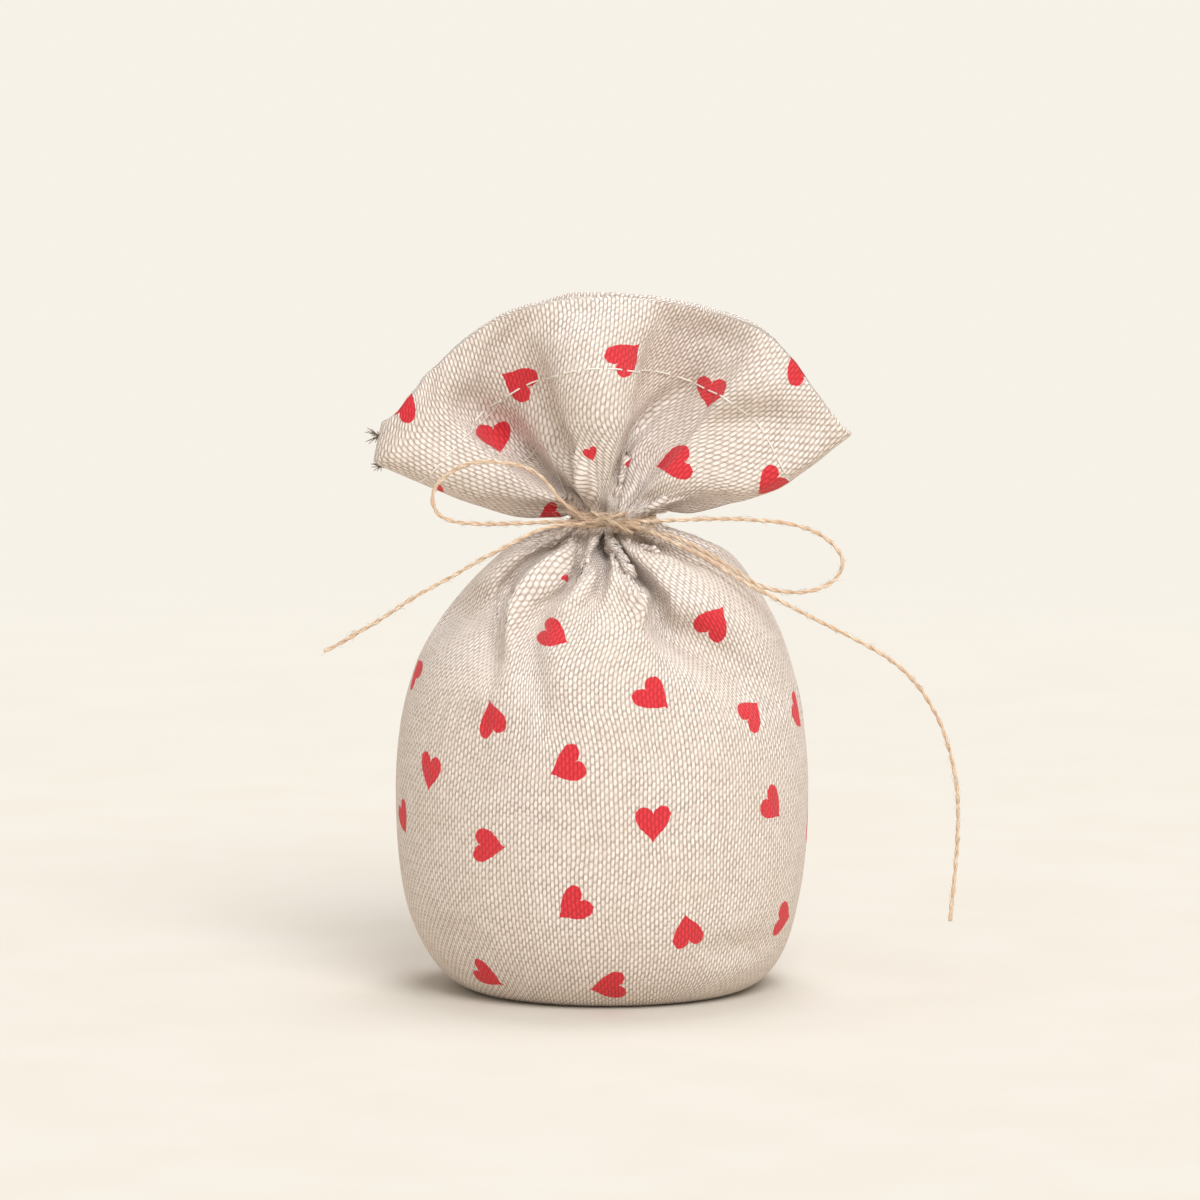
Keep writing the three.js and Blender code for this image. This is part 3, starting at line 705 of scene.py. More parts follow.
def pressed_in(net, picked_rows, folds, lapped=False):
    for turn in range(press_turns):
        picture = in_picture(net)
        normals = cloth_normals(net)
        facing = ease(normals @ camera_way, 0.0, 0.3) * picked_rows[:, None]
        outward = normals + camera_way
        outward /= np.linalg.norm(outward, axis=2, keepdims=True)
        moved = np.zeros(net.shape)
        for fold in folds:
            fold = np.array(fold, float)
            line = smooth_line(np.column_stack([fold[:, :2], np.zeros(len(fold))]), 5.0)[:, :2]
            run = lengths_on_plane(line)
            corner_run = [run[np.argmin(np.hypot(*(line - spot[:2]).T))] for spot in fold]
            depths = np.interp(run, corner_run, fold[:, 2]) / press_turns
            widths = np.interp(run, corner_run, fold[:, 3])
            away = np.full(net.shape[:2], 1e9)
            nearest = np.zeros(net.shape[:2], dtype=int)
            for place, spot in enumerate(line):
                gap = np.hypot(picture[:, :, 0] - spot[0], picture[:, :, 1] - spot[1])
                nearest = np.where(gap < away, place, nearest)
                away = np.minimum(away, gap)
            share = (depths[nearest] * np.exp(-(away / widths[nearest]) ** 2) * facing)[:, :, None]
            if lapped:
                way = np.gradient(line, axis=0)
                way /= np.linalg.norm(way, axis=1, keepdims=True)
                aside = -way[nearest][:, :, 1:] * (1, 0, 0) - way[nearest][:, :, :1] * view_up
                moved += aside * share
            else:
                moved += outward * share
        net = net + moved
    return net


# Near the tie, where the net is gathered most, it is smoothed across before the folds are pressed in.
rows_up = np.arange(rows) - tie_row
below_tie = ease(-rows_up, 1, 5)
above_tie = ease(rows_up, 2, 6) * (1 - ease(rows_up, 34, 46))
near_tie = np.where(rows_up > 0, ease(rows_up, 1, 5), ease(-rows_up, 1, 6))
near_tie *= 1 - np.where(rows_up > 0, ease(rows_up, 14, 26), ease(-rows_up, 8, 16))
for smoothing in range(14):
    evened = (cloth[:, :half - 1] + cloth[:, 1:half] + cloth[:, 2:half + 1]) / 3
    cloth[:, 1:half] += (evened - cloth[:, 1:half]) * near_tie[:, None, None]
cloth = pressed_in(cloth, below_tie, body_folds)
cloth = pressed_in(cloth, below_tie, body_laps, lapped=True)
cloth = pressed_in(cloth, above_tie, fan_folds)
cloth = pressed_in(cloth, above_tie, fan_laps, lapped=True)

# The rim is one smooth arc, given in pixels, and the back one stands a little above it in the middle. The
# left end of the fan is cut straight, from the corner of the rim down to the lower edge.
rim_seen = np.array([
    (371, 438), (376, 427), (396, 412), (407, 400), (419, 388), (427, 376), (440, 364), (452, 352),
    (466, 340), (483, 328), (503, 317), (531, 307), (570, 300), (612, 298), (655, 301), (693, 308),
    (729, 318), (758, 329), (773, 340), (784, 352), (795, 364), (803, 376), (811, 388), (820, 400),
    (828, 412), (838, 424), (847, 437), (853, 446)])
end_rows = (20, 24, 28, 32, 36, 39, 40, 42, 44, 46)
end_seen = np.array([
    (474, 505), (454, 497), (433, 488), (412, 479), (391, 470), (377, 464), (374, 461), (376, 450),
    (379, 436), (382, 423)])
rim_picture = in_picture(cloth[-1])
rim_share = np.minimum(across, 2 * panel_width - across) / panel_width
shown_above = 5.0 * ease(rim_share, 0.30, 0.42) * (1 - ease(rim_share, 0.66, 0.82)) - 1.5
lifted = rim_picture[:, 1] - np.interp(rim_picture[:, 0], rim_seen[:, 0], rim_seen[:, 1])
lifted += np.where(layer > 0, shown_above, 0)
lifted *= ease(np.minimum(rim_share, 1 - rim_share), 0.0, 0.05) / pixels_per_mm
for row in range(tie_row + 16, rows):
    cloth[row, :, 2] += lifted * ease(row - tie_row, 16, 46)
near_end = 1 - ease(np.minimum(across, 2 * panel_width - across), 0, 16)
for row in range(tie_row + 12, rows):
    away = row - tie_row
    spot = [np.interp(away, end_rows, end_seen[:, axis]) for axis in (0, 1)]
    shift = (np.array(spot) - in_picture(cloth[row, 0])) / pixels_per_mm * ease(away, 12, 24)
    cloth[row, :, 0] += shift[0] * near_end
    cloth[row, :, 2] -= shift[1] * near_end


# A push on some points of the fan, drawn out over the points round them, so that it leaves no step.
def spread_out(push, turns):
    spread = push
    for smoothing in range(turns):
        wide = np.pad(spread, 1, mode="edge")
        wide[:, [0, -1]] = 0
        evened = (wide[:-2, 1:-1] + wide[2:, 1:-1] + wide[1:-1, :-2] + wide[1:-1, 2:]) / 4
        spread = np.maximum(push, evened) if smoothing < turns - 3 else evened
    return spread


# Where the fan leans 25 degrees to the front, its lower half comes to rest behind the loops of the bow.
full_lean = math.radians(25)
loop_front = -11.2
front_fan = cloth[tie_row + 2:, :half + 1]
over_tie = front_fan[:, :, 2] - neck_height
leaned_y = front_fan[:, :, 1] * math.cos(full_lean) - over_tie * math.sin(full_lean)
leaned_z = front_fan[:, :, 1] * math.sin(full_lean) + over_tie * math.cos(full_lean)
beyond = np.maximum(0, loop_front - leaned_y) / math.cos(full_lean) * (1 - ease(leaned_z, 14, 17))
beyond *= ease(np.abs(front_fan[:, :, 0]), 9, 15)
front_fan[:, :, 1] += spread_out(beyond, 30)

# The back of the fan lies behind the front one, wherever that is pressed in. How far back the front one
# reaches is kept for each square millimetre of the view, and for those near it.
fan_layers = cloth[tie_row + 2:]
view_corner = (60, -80)
view_cells = (125, 75)
back_gap = 1.2
cell = np.rint(fan_layers[:, :, [0, 2]] + view_corner).astype(int)
farthest = np.full(view_cells, -1e9)
np.maximum.at(farthest, (cell[:, :half + 1, 0], cell[:, :half + 1, 1]), fan_layers[:, :half + 1, 1])
for axis in (0, 1):
    farthest = np.max([np.roll(farthest, step, axis) for step in (-2, -1, 0, 1, 2)], axis=0)
behind = farthest[cell[:, half + 1:, 0], cell[:, half + 1:, 1]]
from_seam = np.minimum(np.arange(1, half), half - np.arange(1, half))
too_near = np.maximum(0, behind + back_gap * ease(from_seam, 0, 6) - fan_layers[:, half + 1:, 1])
fan_layers[:, half + 1:, 1] += spread_out(too_near, 40)


def averaged(values, reach, axis):
    return np.mean([np.roll(values, step, axis) for step in range(-reach, reach + 1)], axis=0)


# Where each point of the net lies on the flat cloth, in mm from the left seam and up from the base. The weave
# keeps its size all over, and the cloth that the gathers take up lies in their valleys.
widest_step = 1.6
shortest_rise = 0.9
longest_rise = 1.25
row_points = np.concatenate([cloth, cloth[:, :1]], 1)
spacing = np.linalg.norm(np.diff(row_points, axis=1), axis=2)
spacing = np.minimum(spacing, widest_step * np.median(spacing, axis=1, keepdims=True))
rising = np.linalg.norm(np.diff(cloth, axis=0), axis=2)
rising = np.clip(rising, shortest_rise * row_step, longest_rise * row_step)
for smoothing in range(2):
    rising = averaged(rising, 20, 1)
cloth_up = np.concatenate([np.zeros((1, columns)), np.cumsum(rising, axis=0)])
evened = averaged(cloth, 9, 1)
hollow = np.maximum(0, ((evened - cloth) * cloth_normals(cloth)).sum(2)) ** 2
hollow = averaged(averaged(hollow, 4, 0), 2, 1) + 0.002
hollow = (hollow + np.roll(hollow, -1, 1)) / 2
cloth_across = np.zeros((rows, columns + 1))
for first_column in (0, half):
    panel = slice(first_column, first_column + half)
    seen_part = spacing[:, panel]
    hollow_part = hollow[:, panel]
    taken_up = np.maximum(0, panel_width - seen_part.sum(1, keepdims=True))
    steps = seen_part + taken_up * hollow_part / hollow_part.sum(1, keepdims=True)
    steps *= panel_width / steps.sum(1, keepdims=True)
    start = cloth_across[:, first_column:first_column + 1]
    cloth_across[:, first_column + 1:first_column + half + 1] = np.cumsum(steps, axis=1) + start
for smoothing in range(3):
    near_rows = [np.clip(np.arange(rows) + step, 0, rows - 1) for step in range(-5, 6)]
    cloth_across = np.mean([cloth_across[picked_rows] for picked_rows in near_rows], axis=0)


# The print. Hearts 7 mm wide lie scattered in a half-drop repeat. Those on the front are given as they are
# seen, by place in pixels, by the way the tip points in degrees and by the share that the folds leave of
# them. Those on the belly are traced back to the cloth, and those in the folds are laid on from the front.
seen_hearts = (
    (752, 712, 62, 1), (655, 698, -43, 1), (491, 716, 105, 1), (565, 767, 200, 1), (430, 774, -100, 1),
    (417, 670, 82, 1), (653, 826, -88, 1), (773, 807, -52, 1), (491, 846, -16, 1), (571, 908, 215, 1),
    (687, 929, 95, 1), (784, 918, 5, 1), (490, 977, -30, 1), (606, 987, 185, 1), (404, 820, -80, 1),
    (797, 715, -70, 1), (807, 820, 90, 1))
folded_hearts = (
    (715, 620, 58, 1), (556, 636, -30, 0.85), (516, 381, 155, 1), (627, 355, 41, 1),
    (710, 394, -100, 0.85), (798, 366, 120, 0.9), (495, 442, -80, 1), (405, 403, 60, 0.9),
    (591, 455, -70, 0.4), (629, 466, 200, 0.36), (672, 464, 189, 1), (769, 485, 220, 0.9),
    (548, 514, 200, 0.6), (437, 497, -60, 0.55), (566, 577, 60, 0.22))
repeat_width = 32.0
repeat_height = 26.0
heart_size = 3.5
heart_apart = 13
heart_middle = (0, 0.18)
heart_scatter = 3
farthest_offset = 3
rim_margin = 12
warp_pitch = 0.84
weft_pitch = 0.83
not_laid_on = (0,) * 5
facing_limits = (-0.15, 0.0)
depth_limits = (5.5, 8)

outward = cloth_normals(cloth)
picture = in_picture(cloth)
facing = outward @ camera_way
nearness = cloth @ camera_way
hearts = []
skew_by_chance = np.random.RandomState(3)


def shorter_way(gap):
    return (gap + panel_width) % (2 * panel_width) - panel_width


def pixels_from(spot):
    return np.hypot(picture[:, :, 0] - spot[0], picture[:, :, 1] - spot[1])


def threads_at(row, column):
    row = min(max(row, 3), rows - 4)
    start = 0 if column < half else half
    column = min(max(column, start + 3), start + half - 3)
    after = (column + 3) % columns
    along_row = cloth[row, after] - cloth[row, column - 3]
    along_column = cloth[row + 3, column] - cloth[row - 3, column]
    row_gain = (cloth_across[row, column + 3] - cloth_across[row, column - 3],
                cloth_up[row, after] - cloth_up[row, column - 3])
    column_gain = (cloth_across[row + 3, column] - cloth_across[row - 3, column],
                   cloth_up[row + 3, column] - cloth_up[row - 3, column])
    threads_both = np.linalg.solve(np.array([row_gain, column_gain]), np.array([along_row, along_column]))
    return threads_both[0], threads_both[1]


def add_heart(place_across, place_run, sideward, upward, toward_tip, laid_on=not_laid_on):
    toward_tip = toward_tip / np.linalg.norm(toward_tip)
    beside = np.cross(np.cross(sideward, upward), toward_tip)
    beside /= np.linalg.norm(beside)
    beside = beside + toward_tip * skew_by_chance.uniform(-0.16, 0.16)
    beside *= skew_by_chance.uniform(0.94, 1.06)
    hearts.append((place_across, place_run, sideward @ toward_tip, upward @ toward_tip,
                   sideward @ beside, upward @ beside, *laid_on))


for heart_x, heart_y, tip, share in seen_hearts + folded_hearts:
    cost = pixels_from((heart_x, heart_y)) - 0.35 * nearness + np.where(facing > 0.05, 0, 60)
    row, column = np.unravel_index(np.argmin(cost), cost.shape)
    sideward, upward = threads_at(row, column)
    in_view = np.array([(1, 0, 0), -view_up]) * pixels_per_mm
    spread = np.stack([in_view @ sideward, in_view @ upward], 1)
    move = np.array((math.cos(math.radians(tip)), -math.sin(math.radians(tip))))
    rest_of = np.array((heart_x, heart_y)) - picture[row, column]
    if abs(np.linalg.det(spread)) > 1.0:
        offset = np.clip(np.linalg.solve(spread, rest_of), -farthest_offset, farthest_offset)
        on_cloth = np.linalg.solve(spread, move)
    else:
        offset = np.zeros(2)
        on_cloth = move * (1, -1)
    toward_tip = sideward * on_cloth[0] + upward * on_cloth[1]
    laid_on = (heart_x, heart_y, math.radians(tip), share, nearness[row, column])
    if (heart_x, heart_y, tip, share) in seen_hearts:
        laid_on = not_laid_on
    add_heart(cloth_across[row, column] + offset[0], cloth_up[row, column] + offset[1],
              sideward, upward, toward_tip, laid_on)

# The hearts of the repeat, on the back, at the sides and under the base. They keep clear of the front, of the
# rim and of each other, and there are none in the gathers.
chance = np.random.RandomState(5)
for heart_row in range(-1, 9):
    for place in range(9):
        for half_drop in (0, 1):
            heart_across = (place + 0.5 * half_drop) * repeat_width * 258 / 256 % (2 * panel_width)
            heart_up = (heart_row + 0.5 * half_drop) * repeat_height + 6
            heart_across += chance.uniform(-heart_scatter, heart_scatter)
            heart_up += chance.uniform(-heart_scatter, heart_scatter)
            direction = chance.uniform(0, 2 * math.pi)
            row = int(np.clip(np.searchsorted(cloth_up.mean(1), heart_up), 0, rows - 1))
            column = int(np.argmin(np.abs(cloth_across[row] - heart_across))) % columns
            on_front = (heart_across + 4) % (2 * panel_width) < panel_width + 8 and -3 < heart_up
            clear = not on_front and heart_up <= cloth_up[-1].mean() - rim_margin
            for other in hearts:
                gap = abs(shorter_way(other[0] - heart_across))
                clear = clear and math.hypot(gap, other[1] - heart_up) > heart_apart
            sideward, upward = threads_at(row, column)
            flat = abs(row - tie_row) > 5 and 0.6 < np.linalg.norm(sideward) < 1.4
            if clear and flat:
                toward_tip = sideward * math.cos(direction) + upward * math.sin(direction)
                add_heart(heart_across, heart_up, sideward, upward, toward_tip)
hearts = np.array(hearts)


# The weave's threads wander a little, and so does the edge of each heart.
def wandering(tree, marks, place, scale, reach):
    drift = noise(tree, place, scale, 2.0, "Color")
    for operation, inputs in (("SUBTRACT", {1: (0.5, 0.5, 0.5)}), ("SCALE", {"Scale": reach})):
        drift = node(tree, "ShaderNodeVectorMath", {0: drift, **inputs}, operation=operation).outputs[0]
    moved = node(tree, "ShaderNodeVectorMath", {0: marks, 1: drift}, operation="ADD").outputs[0]
    return node(tree, "ShaderNodeSeparateXYZ", {0: moved}).outputs, moved


# Floats in slanted rows, crossed by weaker ones, on the ridges of the warp.
def half_panama(tree, parts):
    warp_turn = figure(tree, "MULTIPLY", parts[0], math.pi / warp_pitch)
    weft_turn = figure(tree, "MULTIPLY", parts[1], math.pi / weft_pitch)
    floats = figure(tree, "COSINE", figure(tree, "SUBTRACT", warp_turn, weft_turn))
    crossed = figure(tree, "COSINE", figure(tree, "ADD", warp_turn, weft_turn))
    floats = figure(tree, "MULTIPLY", floats, 0.23)
    floats = figure(tree, "ADD", floats, figure(tree, "MULTIPLY", crossed, 0.17))
    ridges = figure(tree, "ABSOLUTE", figure(tree, "COSINE", warp_turn))
    return figure(tree, "ADD", figure(tree, "MULTIPLY", ridges, 0.62), floats)


# A heart's outline is a circle, with its height moved down by the root of the distance from its middle.
def heart_print(tree, place):
    heart = wandering(tree, marks_of(tree, "heart"), place, 1.1, 0.16)[0]
    wide = figure(tree, "ABSOLUTE", heart[0])
    lobe = figure(tree, "MULTIPLY", figure(tree, "SQRT", wide), 0.95)
    tall = figure(tree, "SUBTRACT", figure(tree, "MULTIPLY", heart[1], 1.2), lobe)
    ring = figure(tree, "ADD", figure(tree, "MULTIPLY", wide, wide), figure(tree, "MULTIPLY", tall, tall))
    return eased(tree, ring, 1.06, 0.94)


def linen_finish():
    material, tree, surface = new_finish("printed_linen")
    place = marks_of(tree, "cloth_mm")
    parts, woven = wandering(tree, place, place, 0.06, 2.2)
    relief = half_panama(tree, parts)
    raised = eased(tree, relief, -0.10, 0.66)
    slubs = noise(tree, drawn_out(tree, woven, (1.2, 0.30, 1)), 1.0, 3.0)
    weft = noise(tree, drawn_out(tree, woven, (0.22, 1.3, 1)), 1.0, 2.0)
    clouds = noise(tree, place, 0.05, 3.0)
    weft_tone = mixed(tree, eased(tree, weft, 0.35, 0.65), shade("#bdaca2"), shade("#d8cac0"))
    yarn_tone = mixed(tree, eased(tree, slubs, 0.35, 0.62), shade("#ebe0d9"), shade("#f8f0eb"))
    # The grooves between the yarns, where the relief is lowest, are painted dark as shade; the yarn and weft
    # tones above them are the cloth's own.
    linen_with_gap_shade = mixed(tree, eased(tree, relief, -0.18, 0.14), shade("#6c5d56"), weft_tone)
    linen_with_gap_shade = mixed(tree, eased(tree, relief, 0.12, 0.52), linen_with_gap_shade, yarn_tone)
    linen_with_gap_shade = mixed(tree, eased(tree, clouds, 0.35, 0.65, 0.0, 0.12), linen_with_gap_shade, shade("#dcc8ae"))
    # The red print is painted darker in the grooves of the weave as shade, and brighter on the raised floats.
    ink_with_groove_shade = mixed(tree, raised, shade("#c92b37"), shade("#e83e48"))
    ink_with_groove_shade = mixed(tree, eased(tree, slubs, 0.35, 0.7, 0.0, 0.35), ink_with_groove_shade, shade("#d5323a"))
    tone = mixed(tree, heart_print(tree, place), linen_with_gap_shade, ink_with_groove_shade)
    height = figure(tree, "ADD", raised, figure(tree, "MULTIPLY", slubs, 0.5))
    finish_surface(tree, surface, tone, height, 0.00022, 0.9, {
        "Roughness": 0.88, "Specular IOR Level": 0.2, "Sheen Weight": 0.12, "Sheen Roughness": 0.6})
    return material


linen = linen_finish()
base_rows = 6
hem_rows = round(hem_depth / row_step)
hem_inset = 0.9
seam_tuck = 0.12
base_gap = 0.15
weld_distance = 0.00002


def grid_faces(height, width):
    corner = np.arange(height * width).reshape(height, width)
    return np.stack([corner[:-1, :-1], corner[:-1, 1:], corner[1:, 1:], corner[1:, :-1]], -1).reshape(-1, 4)


def make_active(piece):
    bpy.ops.object.select_all(action="DESELECT")
    piece.select_set(True)
    bpy.context.view_layer.objects.active = piece


def thicken(piece, thickness, offset):
    wall = piece.modifiers.new("wall", "SOLIDIFY")
    wall.thickness = thickness
    wall.offset = offset
    bpy.ops.object.modifier_apply(modifier="wall")


# One panel as one sheet: half of the base, the wall, the header, and the hem turned in behind it.
def sewn_panel(name, first_column):
    picked = [(first_column + step) % columns for step in range(half + 1)]
    net = cloth[:, picked].copy()
    inner = outward[:, picked]
    run = cloth_up[:, picked]
    side_place = cloth_across[:, first_column:first_column + half + 1]
    for end, beside in ((0, 1), (-1, -2)):
        apart = net[:, beside] - net[:, end]
        net[:, end] += seam_tuck * apart / np.linalg.norm(apart, axis=1, keepdims=True)
    rim = net[-1].copy()
    onward = rim - net[-2]
    onward /= np.linalg.norm(onward, axis=1, keepdims=True)
    inward = -inner[-1]
    turned = [rim + onward * 0.35 + inward * 0.12, rim + onward * 0.35 + inward * 0.78]
    for row in range(hem_rows + 1):
        turned.append(net[-1 - row] - inner[-1 - row] * hem_inset)
    turned = np.array(turned)
    turned_run = np.array([0.4, 1.2] + [1.6 + row * row_step for row in range(hem_rows + 1)])
    turned_run = turned_run[:, None] + run[-1:]
    edge = net[0]
    foot = base_gap if first_column else -base_gap
    flat = np.linspace(0, 1, base_rows, endpoint=False)
    under = np.array([
        np.stack([edge[:, 0], foot + (edge[:, 1] - foot) * share, edge[:, 2]], 1) for share in flat])
    under_run = -(1 - flat)[:, None] * np.abs(edge[:, 1])[None]
    grid = np.concatenate([under, net, turned])
    grid_run = np.concatenate([under_run, run, turned_run])
    grid_side = np.concatenate([side_place[:base_rows], side_place, side_place[:len(turned)]])
    faces = grid_faces(*grid.shape[:2])
    piece = new_piece(name, grid.reshape(-1, 3) / 1000, faces.tolist(), linen)
    places = np.stack([grid_side, grid_run], -1).reshape(-1, 2)
    add_marks(piece, "cloth_mm", places[faces.ravel()])
    make_active(piece)
    bpy.ops.object.mode_set(mode="EDIT")
    bpy.ops.mesh.select_all(action="SELECT")
    bpy.ops.mesh.remove_doubles(threshold=weld_distance)
    bpy.ops.object.mode_set(mode="OBJECT")
    thicken(piece, cloth_thickness / 1000, -0.6)
    print_hearts(piece)
    return piece


def all_of(parts, name, each=1, kind=float):
    values = np.zeros(len(parts) * each, dtype=kind)
    parts.foreach_get(name, values)
    return values.reshape(-1, each) if each > 1 else values


# Each face takes the heart nearest to it, and each of its corners a place in that heart. A laid-on heart ends
# where the cloth turns away from the front, and where it lies much deeper or higher than the heart.
def print_hearts(piece):
    mesh = piece.data
    places = all_of(mesh.uv_layers["cloth_mm"].data, "uv", 2)
    counts = all_of(mesh.polygons, "loop_total", kind=np.int64)
    owner = np.repeat(np.arange(len(mesh.polygons)), counts)
    middle = np.stack([np.bincount(owner, places[:, axis]) / counts for axis in (0, 1)], 1)
    gap = middle[:, None, :] - hearts[None, :, :2]
    gap[:, :, 0] = shorter_way(gap[:, :, 0])
    nearest = np.argmin((gap ** 2).sum(2), 1)
    middles, ways_up, ways_beside, seen_at, seen_tip, share, depth = np.split(
        hearts[nearest][owner], (2, 4, 6, 8, 9, 10), axis=1)
    local = places - middles
    local[:, 0] = shorter_way(local[:, 0])
    toward_tip = local[:, 0] * ways_up[:, 0] + local[:, 1] * ways_up[:, 1]
    beside = local[:, 0] * ways_beside[:, 0] + local[:, 1] * ways_beside[:, 1]
    corners = all_of(mesh.loops, "vertex_index", kind=np.int64)
    spots = all_of(mesh.vertices, "co", 3) * 1000
    shown = (in_picture(spots)[corners] - seen_at) / pixels_per_mm
    farther = np.abs((spots @ camera_way)[corners] - depth[:, 0])
    laid_on = share[:, 0] > 0
    size = np.where(laid_on, share[:, 0], 1)
    tip_x = np.cos(seen_tip[:, 0])
    tip_y = -np.sin(seen_tip[:, 0])
    toward_tip = np.where(laid_on, shown[:, 0] * tip_x + shown[:, 1] * tip_y, toward_tip) / size
    beside = np.where(laid_on, shown[:, 1] * tip_x - shown[:, 0] * tip_y, beside) / size
    marks = np.stack([beside, -toward_tip], 1) / heart_size + heart_middle
    normals = all_of(mesh.vertices, "normal", 3)
    turned_away = 1 - ease((normals @ camera_way)[corners], *facing_limits)
    lost = np.maximum(turned_away, ease(farther, *depth_limits))
    marks *= np.where(laid_on, 1 + 4 * lost, 1)[:, None]
    add_marks(piece, "heart", marks)


for side_name, first_column in (("front", 0), ("back", half)):
    piece = sewn_panel(side_name + "_cloth", first_column)
    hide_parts(side_name + "_panel", side_name + "_header")
    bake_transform(piece)


# Hem thread and loose thread ends. The hem is turned in by 15 mm and held by a running stitch of white
# cotton, front and back. At the left corner the ends of the seam's dark overlock thread stick out.
stitch_length = 3.9
stitch_gap = 0.9
stitch_start = 1.6
stitch_points = 9
thread_radius = 0.00017
loose_radius = 0.00011


def thread_finish(name, dark, light):
    material, tree, surface = new_finish(name)
    slanted = drawn_out(tree, marks_of(tree, "fibre"), (6.3, 9, 1))
    inputs = {"Vector": slanted, "Scale": 0.5, "Distortion": 1.0}
    twist = node(tree, "ShaderNodeTexWave", inputs).outputs["Fac"]
    tone = mixed(tree, twist, shade(dark), shade(light))
    finish_surface(tree, surface, tone, twist, 0.00003, 0.6, {"Roughness": 0.55, "Sheen Weight": 0.3})
    return material


white_thread = thread_finish("white_cotton_thread", "#ece6da", "#fffdf8")
dark_thread = thread_finish("overlock_thread", "#6f5f4e", "#a3917b")
hem_row = rows - 1 - hem_rows
stitch_ends = np.abs(np.linspace(-1, 1, stitch_points)) > 0.99
arch = 0.16 + 0.14 * np.sin(np.linspace(0, math.pi, stitch_points)) - 0.45 * stitch_ends
for side_name, first_column in (("front", 0), ("back", half)):
    stitches = empty_bundle()
    reach = (first_column + np.arange(half + 1)) % columns
    row_line = cloth[hem_row, reach]
    row_out = outward[hem_row, reach]
    run = lengths_along(row_line)
    start = stitch_start
    while start + stitch_length < run[-1] - 1:
        places = np.linspace(start, start + stitch_length, stitch_points)
        spots = points_at(places, run, row_line)
        lifts = points_at(places, run, row_out)
        add_tube(stitches, (spots + lifts * arch[:, None]) / 1000, thread_radius, 6)
        start += stitch_length + stitch_gap + hairs_by_chance.uniform(-0.2, 0.2)
    finish_bundle(side_name + "_hem_stitches", stitches, "header", white_thread)

# A few ends of the hem's thread have come loose and lie in the large valley.
loose_ends = (
    ((478, 424), (490, 411), (503, 397)), ((548, 436), (553, 456), (560, 476), (564, 494)),
    ((518, 462), (530, 452), (541, 440)))
loose_threads = empty_bundle()
for way in loose_ends:
    spots = []
    for spot in smooth_line([(x, y, 0) for x, y in way], 4)[:, :2]:
        cost = pixels_from(spot) - 0.2 * nearness + np.where(facing > 0.02, 0, 60)
        place = np.unravel_index(np.argmin(cost), cost.shape)
        spots.append(cloth[place] + outward[place] * 0.5)
    spots = np.array(spots)
    for smoothing in range(3):
        spots[1:-1] = (spots[:-2] + spots[1:-1] + spots[2:]) / 3
    add_tube(loose_threads, smooth_line(spots / 1000, 0.0005), loose_radius, 5)
finish_bundle("loose_hem_thread", loose_threads, "header", white_thread)

corner_ends = empty_bundle()
for spot_row, count in ((rows - 3, 22), (rows - 9, 9)):
    spot = cloth[spot_row, 0] / 1000
    for end in range(count):
        way = np.array((-1.0, hairs_by_chance.uniform(-0.8, 0.5), hairs_by_chance.uniform(-0.9, 1.0)))
        way /= np.linalg.norm(way)
        curl = np.array((hairs_by_chance.uniform(-1, 1), -0.3, hairs_by_chance.uniform(-1, 1))) * 0.0010
        share = np.linspace(0, 1, 6)[:, None]
        length = hairs_by_chance.uniform(0.0012, 0.0030)
        line = spot - way * 0.0006 + way * length * share + curl * share ** 2
        add_tube(corner_ends, line, np.linspace(0.00013, 0.00007, 6), 5)
finish_bundle("corner_thread_ends", corner_ends, "header", dark_thread)


# Seam allowances. Inside, the raw edges of both panels are overlocked together along each side and pressed
# towards the back. They can't be seen on a closed pouch.
allowance_low = 4.0
allowance_high = 80.0
allowance_inset = 1.5
allowance_thickness = 0.0010


def overlocked_finish():
    material, tree, surface = new_finish("overlocked_linen")
    places = places_of(tree)
    inputs = {"Vector": places, "Scale": 190.0, "Distortion": 1.0}
    weft = node(tree, "ShaderNodeTexWave", inputs, bands_direction="Z").outputs["Fac"]
    fibre = noise(tree, places, 900.0, 3.0)
    tone = mixed(tree, weft, shade("#a8957c"), shade("#e6d8c6"))
    tone = mixed(tree, eased(tree, fibre, 0.4, 0.6, 0.0, 0.4), tone, shade("#8d7a63"))
    finish_surface(tree, surface, tone, weft, 0.00015, 0.8, {"Roughness": 0.9})
    return material


overlock_cloth = overlocked_finish()
middle_heights = cloth[:tie_row, half // 2, 2]
ribbon_rows = [row for row in range(0, tie_row, 2) if allowance_low < middle_heights[row] < allowance_high]
for side_name, seam_column, step in (("left", 0, -1), ("right", half, 1)):
    ribbon = []
    for place in (0.6, 2, 4, 6, 7.4):
        low = int(math.floor(place))
        share = place - low
        first = cloth[ribbon_rows, (seam_column + step * low) % columns]
        second = cloth[ribbon_rows, (seam_column + step * (low + 1)) % columns]
        ribbon.append(first * (1 - share) + second * share)
    ribbon = np.array(ribbon).swapaxes(0, 1)
    inward = ribbon * (1, 1, 0)
    inward /= np.linalg.norm(inward, axis=2, keepdims=True)
    ribbon = (ribbon - inward * allowance_inset) / 1000
    faces = grid_faces(*ribbon.shape[:2]).tolist()
    name = side_name + "_seam_allowance"
    piece = new_piece(name, ribbon.reshape(-1, 3), faces, overlock_cloth, smooth=False)
    make_active(piece)
    thicken(piece, allowance_thickness, 0)
    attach(piece, "pouch")
    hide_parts(side_name + "_side_seam")


